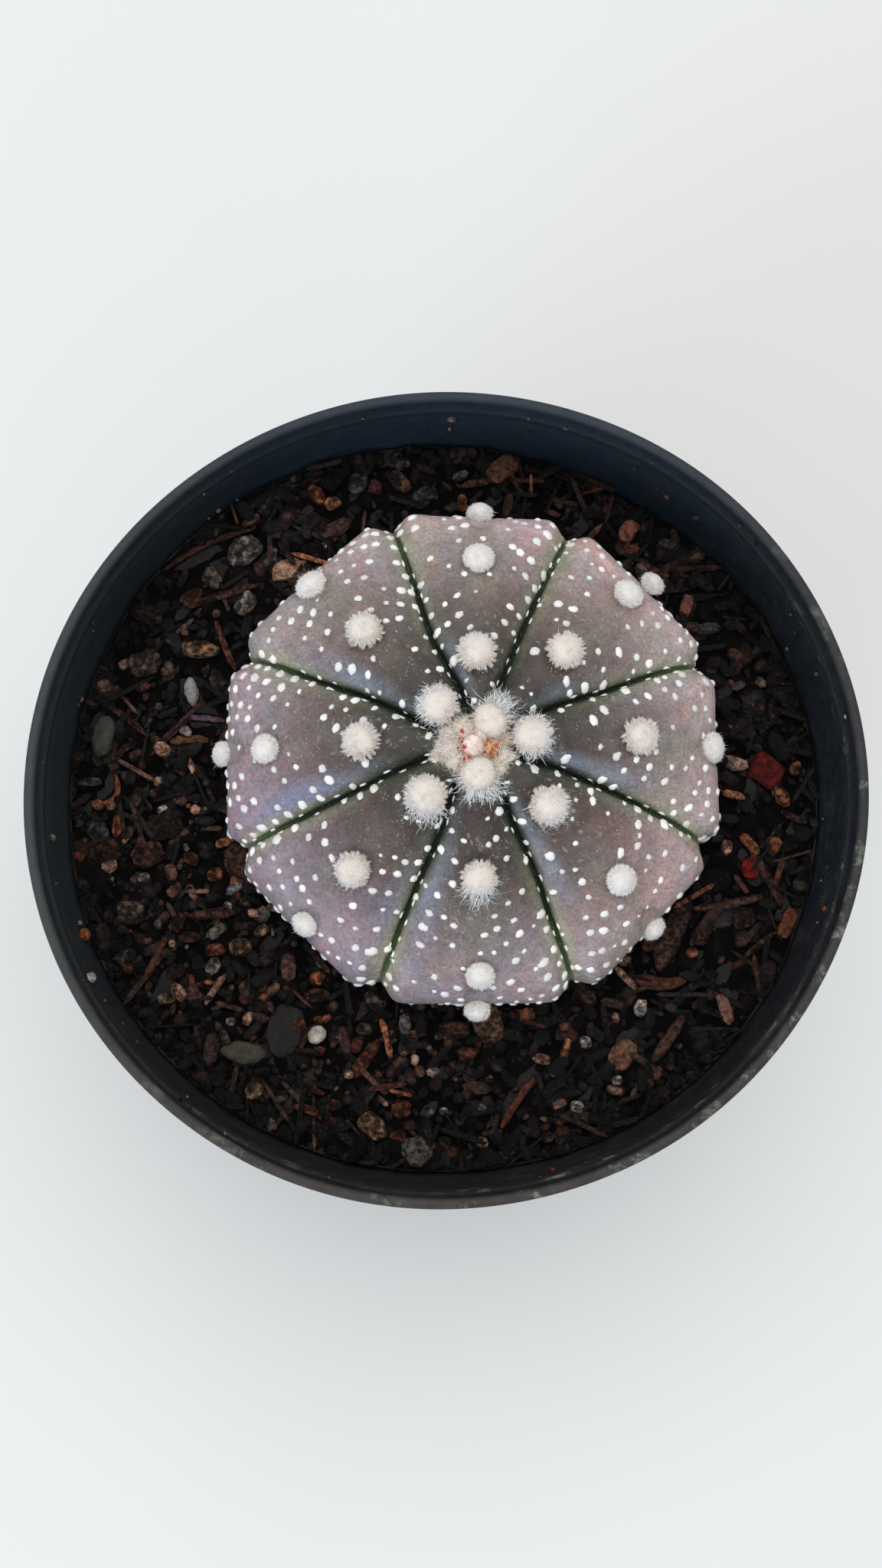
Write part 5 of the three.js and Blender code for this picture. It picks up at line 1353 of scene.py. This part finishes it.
LOOSE = [
    ("flat_stone_grey", "stone", -25.2, -31.8, -6, (5.7, 2.7, 1.6), "grey_stone", 0.5, 6, lin(74, 70, 60)),
    ("flat_stone_dark", "slab", -20.1, -29.2, 80, (6.4, 4.2, 1.4), "dark_stone", 0.5, 6, lin(40, 38, 36)),
    ("pebble_white", "stone", -16.1, -29.6, 32, (2.5, 2.0, 1.7), "pale_stone", 0.6, 0, lin(200, 192, 178)),
    ("stone_egg_dark", "stone", -43.4, 7.8, 78, (5.2, 2.8, 2.2), "dark_stone", 0.7, 0, lin(66, 66, 60)),
    ("pebble_long_pale", "stone", -32.4, 13.6, 97, (3.6, 1.8, 1.5), "pale_stone", 0.5, 0, lin(140, 138, 134)),
    ("bark_chip_red_large", "slab", 41.1, 3.7, -34, (4.7, 3.9, 1.7), "red_bark", 0.6, 12, lin(98, 24, 20)),
    ("bark_chip_red_small", "slab", 38.8, -8.7, 80, (2.8, 2.2, 1.2), "red_bark", 0.5, 0, lin(136, 20, 16)),
    ("bark_chip_orange", "slab", 43.2, -15.7, 66, (4.0, 1.9, 1.2), "tan_bark", 0.5, 8, lin(104, 58, 34)),
    ("bark_chip_tan_upright", "slab", 7.3, 43.3, 42, (4.2, 2.8, 1.6), "tan_bark", 0.8, 16, lin(96, 64, 46)),
    ("bark_chip_pinkish", "slab", -20.1, 29.6, 15, (4.4, 3.0, 1.4), "tan_bark", 0.6, 10, lin(176, 134, 106)),
    ("bark_chip_pink_a", "slab", 24.0, 35.6, 52, (3.3, 2.1, 1.3), "tan_bark", 0.5, 0, lin(134, 86, 72)),
    ("bark_chip_pink_b", "slab", 31.3, 25.4, 78, (3.2, 1.6, 1.2), "tan_bark", 0.5, 0, lin(128, 80, 66)),
    ("bark_chip_hook", "stick", -43.2, 1.1, 53, (4.6, 0.9, -3.4), "tan_bark", 0.45, 0, lin(124, 72, 42)),
    ("bark_chip_tan_front", "slab", 22.1, -32.1, 50, (3.9, 2.9, 1.5), "tan_bark", 0.6, 6, lin(118, 82, 60)),
    ("bark_chip_brown_long", "stick", 26.9, -22.8, -3, (6.5, 1.7, -1.0), "bark", 0.6, 0, lin(84, 48, 34)),
    ("stick_pale", "slab", 35.0, -26.4, 108, (3.7, 1.4, 1.1), "tan_bark", 0.5, 0, lin(128, 92, 80)),
    ("fibre_red_brown", "stick", -30.6, 32.0, 26, (12.6, 0.8, 1.6), "fibre", 0.5, 0, lin(72, 42, 30)),
    ("stick_mauve", "stick", -31.1, 10.2, -5, (6.0, 0.8, 0.3), "fibre", 0.5, 0, lin(112, 88, 100)),
    ("stick_tan", "stick", -32.6, 7.3, 2, (4.7, 1.1, 0.4), "tan_bark", 0.5, 0, lin(110, 78, 54)),
    ("stick_pinkish", "stick", -28.7, -24.0, 57, (4.4, 0.9, 0.3), "fibre", 0.5, 0, lin(148, 112, 98)),
    ("stick_red_a", "stick", 9.0, -38.0, 56, (7.4, 1.0, 0.5), "fibre", 0.5, 0, lin(92, 50, 36)),
    ("stick_red_b", "stick", 33.2, -15.6, 50, (7.4, 1.3, 0.5), "bark", 0.6, 0, lin(56, 38, 32)),
]


def build_loose():
    for k, (name, kind, x, y, turn, size, slot, lift, tilt, col) in enumerate(LOOSE):
        if kind == "stone":
            v, f = fbm_shape(*size, 1.08 if name == "flat_stone_grey" else 0.95, 400 + k, 0.16)
            mat = M_STONE
        elif kind == "slab":
            v, f = fbm_shape(*size, 0.80 if "stone" in slot else 0.64, 400 + k, 0.30 if "stone" in slot else 0.30, strata=0.07)
            mat = M_STONE if "stone" in slot else M_CHIP
        else:
            v, f = bent(*size, 400 + k)
            mat = M_CHIP
        z = float(mix_top(np.array([x]), np.array([y]))[0]) + lift
        R = (Matrix.Rotation(math.radians(turn), 3, "Z") @ Matrix.Rotation(math.radians(tilt), 3, "Y"))
        W = v @ np.array(R).T + np.array([x, y, z])
        shade = (1 + 0.45 * fbm(v / np.array([1.6, 0.5, 0.6]), 430 + k, 3)) * (1.32 if mat is M_CHIP and slot != "red_bark" else 1.0)
        alt = smooth(0.1, 0.6, fbm(v / 1.4, 450 + k, 2))[:, None]
        c = col * shade[:, None]
        c = c * (1 - 0.35 * alt) + c * 0.35 * alt * np.array([1.25, 0.9, 0.8])
        make_mesh("fine_" + name, W, f, mat, tint=c, replaces=[name])


def build_grains():
    """the paler crumbs and chips lying on the mix, each broken up by lumps and dark pits"""
    parts = []
    for k, (x, y, length, width, turn, col) in enumerate(GRAINS):
        g = np.random.default_rng(860 + k)
        big = length > 2.6
        v, f = fbm_shape(length, width, min(width, 2.2) * 0.8, 0.82, 880 + k, 0.34, nu=22 if big else 14, nv=13 if big else 8)
        ang = math.radians(turn)
        R = np.array([[math.cos(ang), -math.sin(ang), 0], [math.sin(ang), math.cos(ang), 0], [0, 0, 1]])
        z = float(mix_top(np.array([x]), np.array([y]))[0]) + 0.75
        W = v @ R.T + np.array([x, y, z])
        dark = smooth(-0.10, 0.28, fbm(v / 0.62, 900 + k, 3))[:, None]
        parts.append((W, f, col * (0.22 + 1.05 * dark)))
    for k, (x, y, length, width, turn, bend, col) in enumerate(TWIGS):
        v, f = bent(length, width, bend, 940 + k, nseg=14, nring=8)
        ang = math.radians(turn)
        R = np.array([[math.cos(ang), -math.sin(ang), 0], [math.sin(ang), math.cos(ang), 0], [0, 0, 1]])
        z = float(mix_top(np.array([x]), np.array([y]))[0]) + 0.95
        W = v @ R.T + np.array([x, y, z])
        dark = smooth(-0.25, 0.25, fbm(v / np.array([1.3, 0.4, 0.4]), 960 + k, 3))[:, None]
        parts.append((W, f, col * (0.35 + 0.95 * dark)))
    v, f, c = join(parts)
    make_mesh("mix_pale_pieces", v, f, M_LUMP, tint=c)


def build_wall_bits():
    """crumbs and grains stuck to the inside of the wall"""
    g = np.random.default_rng(611)
    sv = [template(8, 5, 0.85, 620 + k, 0.35) for k in range(5)]
    items = [(89.4, 4.9, 1.1, lin(150, 128, 140)), (-173.4, 5.8, 1.1, lin(206, 188, 160)), (-152.3, 4.6, 1.8, lin(214, 206, 196)),
             (-158.9, 9.4, 2.2, lin(170, 96, 50)), (60.3, 5.9, 1.0, lin(70, 88, 98)), (48.3, 8.0, 1.2, lin(64, 84, 96))]
    for k in range(64):
        pal = [DARK, BROWN, TAN, GREY, PALE][g.choice(5, p=[0.2, 0.36, 0.2, 0.16, 0.08])]
        items.append((g.uniform(0, 360), g.uniform(1.2, 11.5), g.uniform(0.25, 0.85), pal[g.integers(0, len(pal))]))
    parts = []
    for k, (a, drop, size, col) in enumerate(items):
        v, f = sv[k % 5]
        a = math.radians(a)
        z = POT_HEIGHT - drop
        r = (float(inner_radius(z)) - 0.1) * float(oval(z, a))
        th = g.uniform(0, TAU)
        loc = v * np.array([size * g.uniform(0.7, 1.2), size * 0.7, size * 0.55]) / 2
        rot = np.array([[math.cos(th), -math.sin(th), 0], [math.sin(th), math.cos(th), 0], [0, 0, 1]])
        loc = loc @ rot.T
        n = np.array([-math.cos(a), -math.sin(a), 0.1])
        t1 = np.array([-math.sin(a), math.cos(a), 0])
        t2 = np.cross(n, t1)
        c = np.array([r * math.cos(a), r * math.sin(a), z]) + n * size * 0.2
        W = c + loc[:, :1] * t1 + loc[:, 1:2] * t2 + loc[:, 2:] * n
        parts.append((W, f, np.array(col) * g.uniform(0.8, 1.1)))
    v, f, c = join(parts)
    make_mesh("wall_grains", v, f, M_CRUMB, smooth_shade=False, tint=c)


build_body()
fuzz = build_flecks()
build_tufts(fuzz)
build_pot()
build_mix()
build_loose()
build_grains()
build_wall_bits()

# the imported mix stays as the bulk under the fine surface, seen through the drain holes
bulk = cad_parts["potting_mix"]
m, nt, b = new_mat("mix_bulk_mat")
vec = coords(nt)
nt.links.new(ramp(nt, noise(nt, vec, 600, 6, 0.65), [(0.3, lin(9, 8, 8)), (0.58, lin(20, 16, 14)), (0.72, lin(46, 33, 27))]), b.inputs["Base Color"])
b.inputs["Roughness"].default_value = 0.92
nt.links.new(bump(nt, noise(nt, vec, 900, 6, 0.65), 1.0, 0.0006), b.inputs["Normal"])
bulk.data.materials.clear()
bulk.data.materials.append(m)

# --------------------------------------------------------------------- stage
m, nt, b = new_mat("floor_mat")
vec = coords(nt)
nt.links.new(ramp(nt, noise(nt, vec, 3.0, 4, 0.5), [(0.3, lin(207, 208, 207)), (0.7, lin(213, 214, 212))]), b.inputs["Base Color"])
b.inputs["Roughness"].default_value = 0.8
floor = make_mesh("floor", np.array([[-3000, -3000, 0], [3000, -3000, 0], [3000, 3000, 0], [-3000, 3000, 0]]), [np.array([[0, 1, 2, 3]])], m, body=None)

world = bpy.data.worlds.new("soft_world")
bpy.context.scene.world = world
world.use_nodes = True
bg = world.node_tree.nodes["Background"]
bg.inputs[0].default_value = (0.95, 0.975, 1.0, 1)
bg.inputs[1].default_value = 0.67


def area(name, loc, aim, size, power, color):
    d = bpy.data.lights.new(name, "AREA")
    d.shape = "DISK"
    d.size = size
    d.energy = power
    d.color = color
    o = bpy.data.objects.new(name, d)
    bpy.context.scene.collection.objects.link(o)
    o.location = loc
    o.rotation_mode = "QUATERNION"
    o.rotation_quaternion = (Vector(aim) - Vector(loc)).to_track_quat("-Z", "Y")
    return o


area("sky_panel", (-0.04, 0.38, 1.35), (0, 0, 0.08), 1.4, 14.0, (1.0, 0.985, 0.965))
area("window_panel", (-0.85, -0.95, 0.62), (0, 0, 0.08), 0.8, 8.4, (0.78, 0.87, 1.0))

# -------------------------------------------------------------------- camera
CAM_AT = np.array([-7.30671752, -21.69426561, 193.63001994 + POT_HEIGHT])
CAM_F = np.array([0.03223239, 0.11385426, -0.99297446])
CAM_R = np.array([0.99947358, 0.0, 0.03244336])
CAM_U = np.cross(CAM_R, CAM_F)
cam_data = bpy.data.cameras.new("camera")
cam_data.sensor_fit = "AUTO"
cam_data.sensor_width = 36.0
cam_data.lens = 2129.27 / 2048 * 36.0
cam_data.clip_start, cam_data.clip_end = 0.01, 20.0
cam = bpy.data.objects.new("camera", cam_data)
bpy.context.scene.collection.objects.link(cam)
R = np.stack([CAM_R, CAM_U, -CAM_F], 1)
cam.matrix_world = Matrix([[*R[i], CAM_AT[i] * MM] for i in range(3)] + [[0, 0, 0, 1]])
bpy.context.scene.camera = cam
bpy.context.scene.view_settings.view_transform = "Standard"
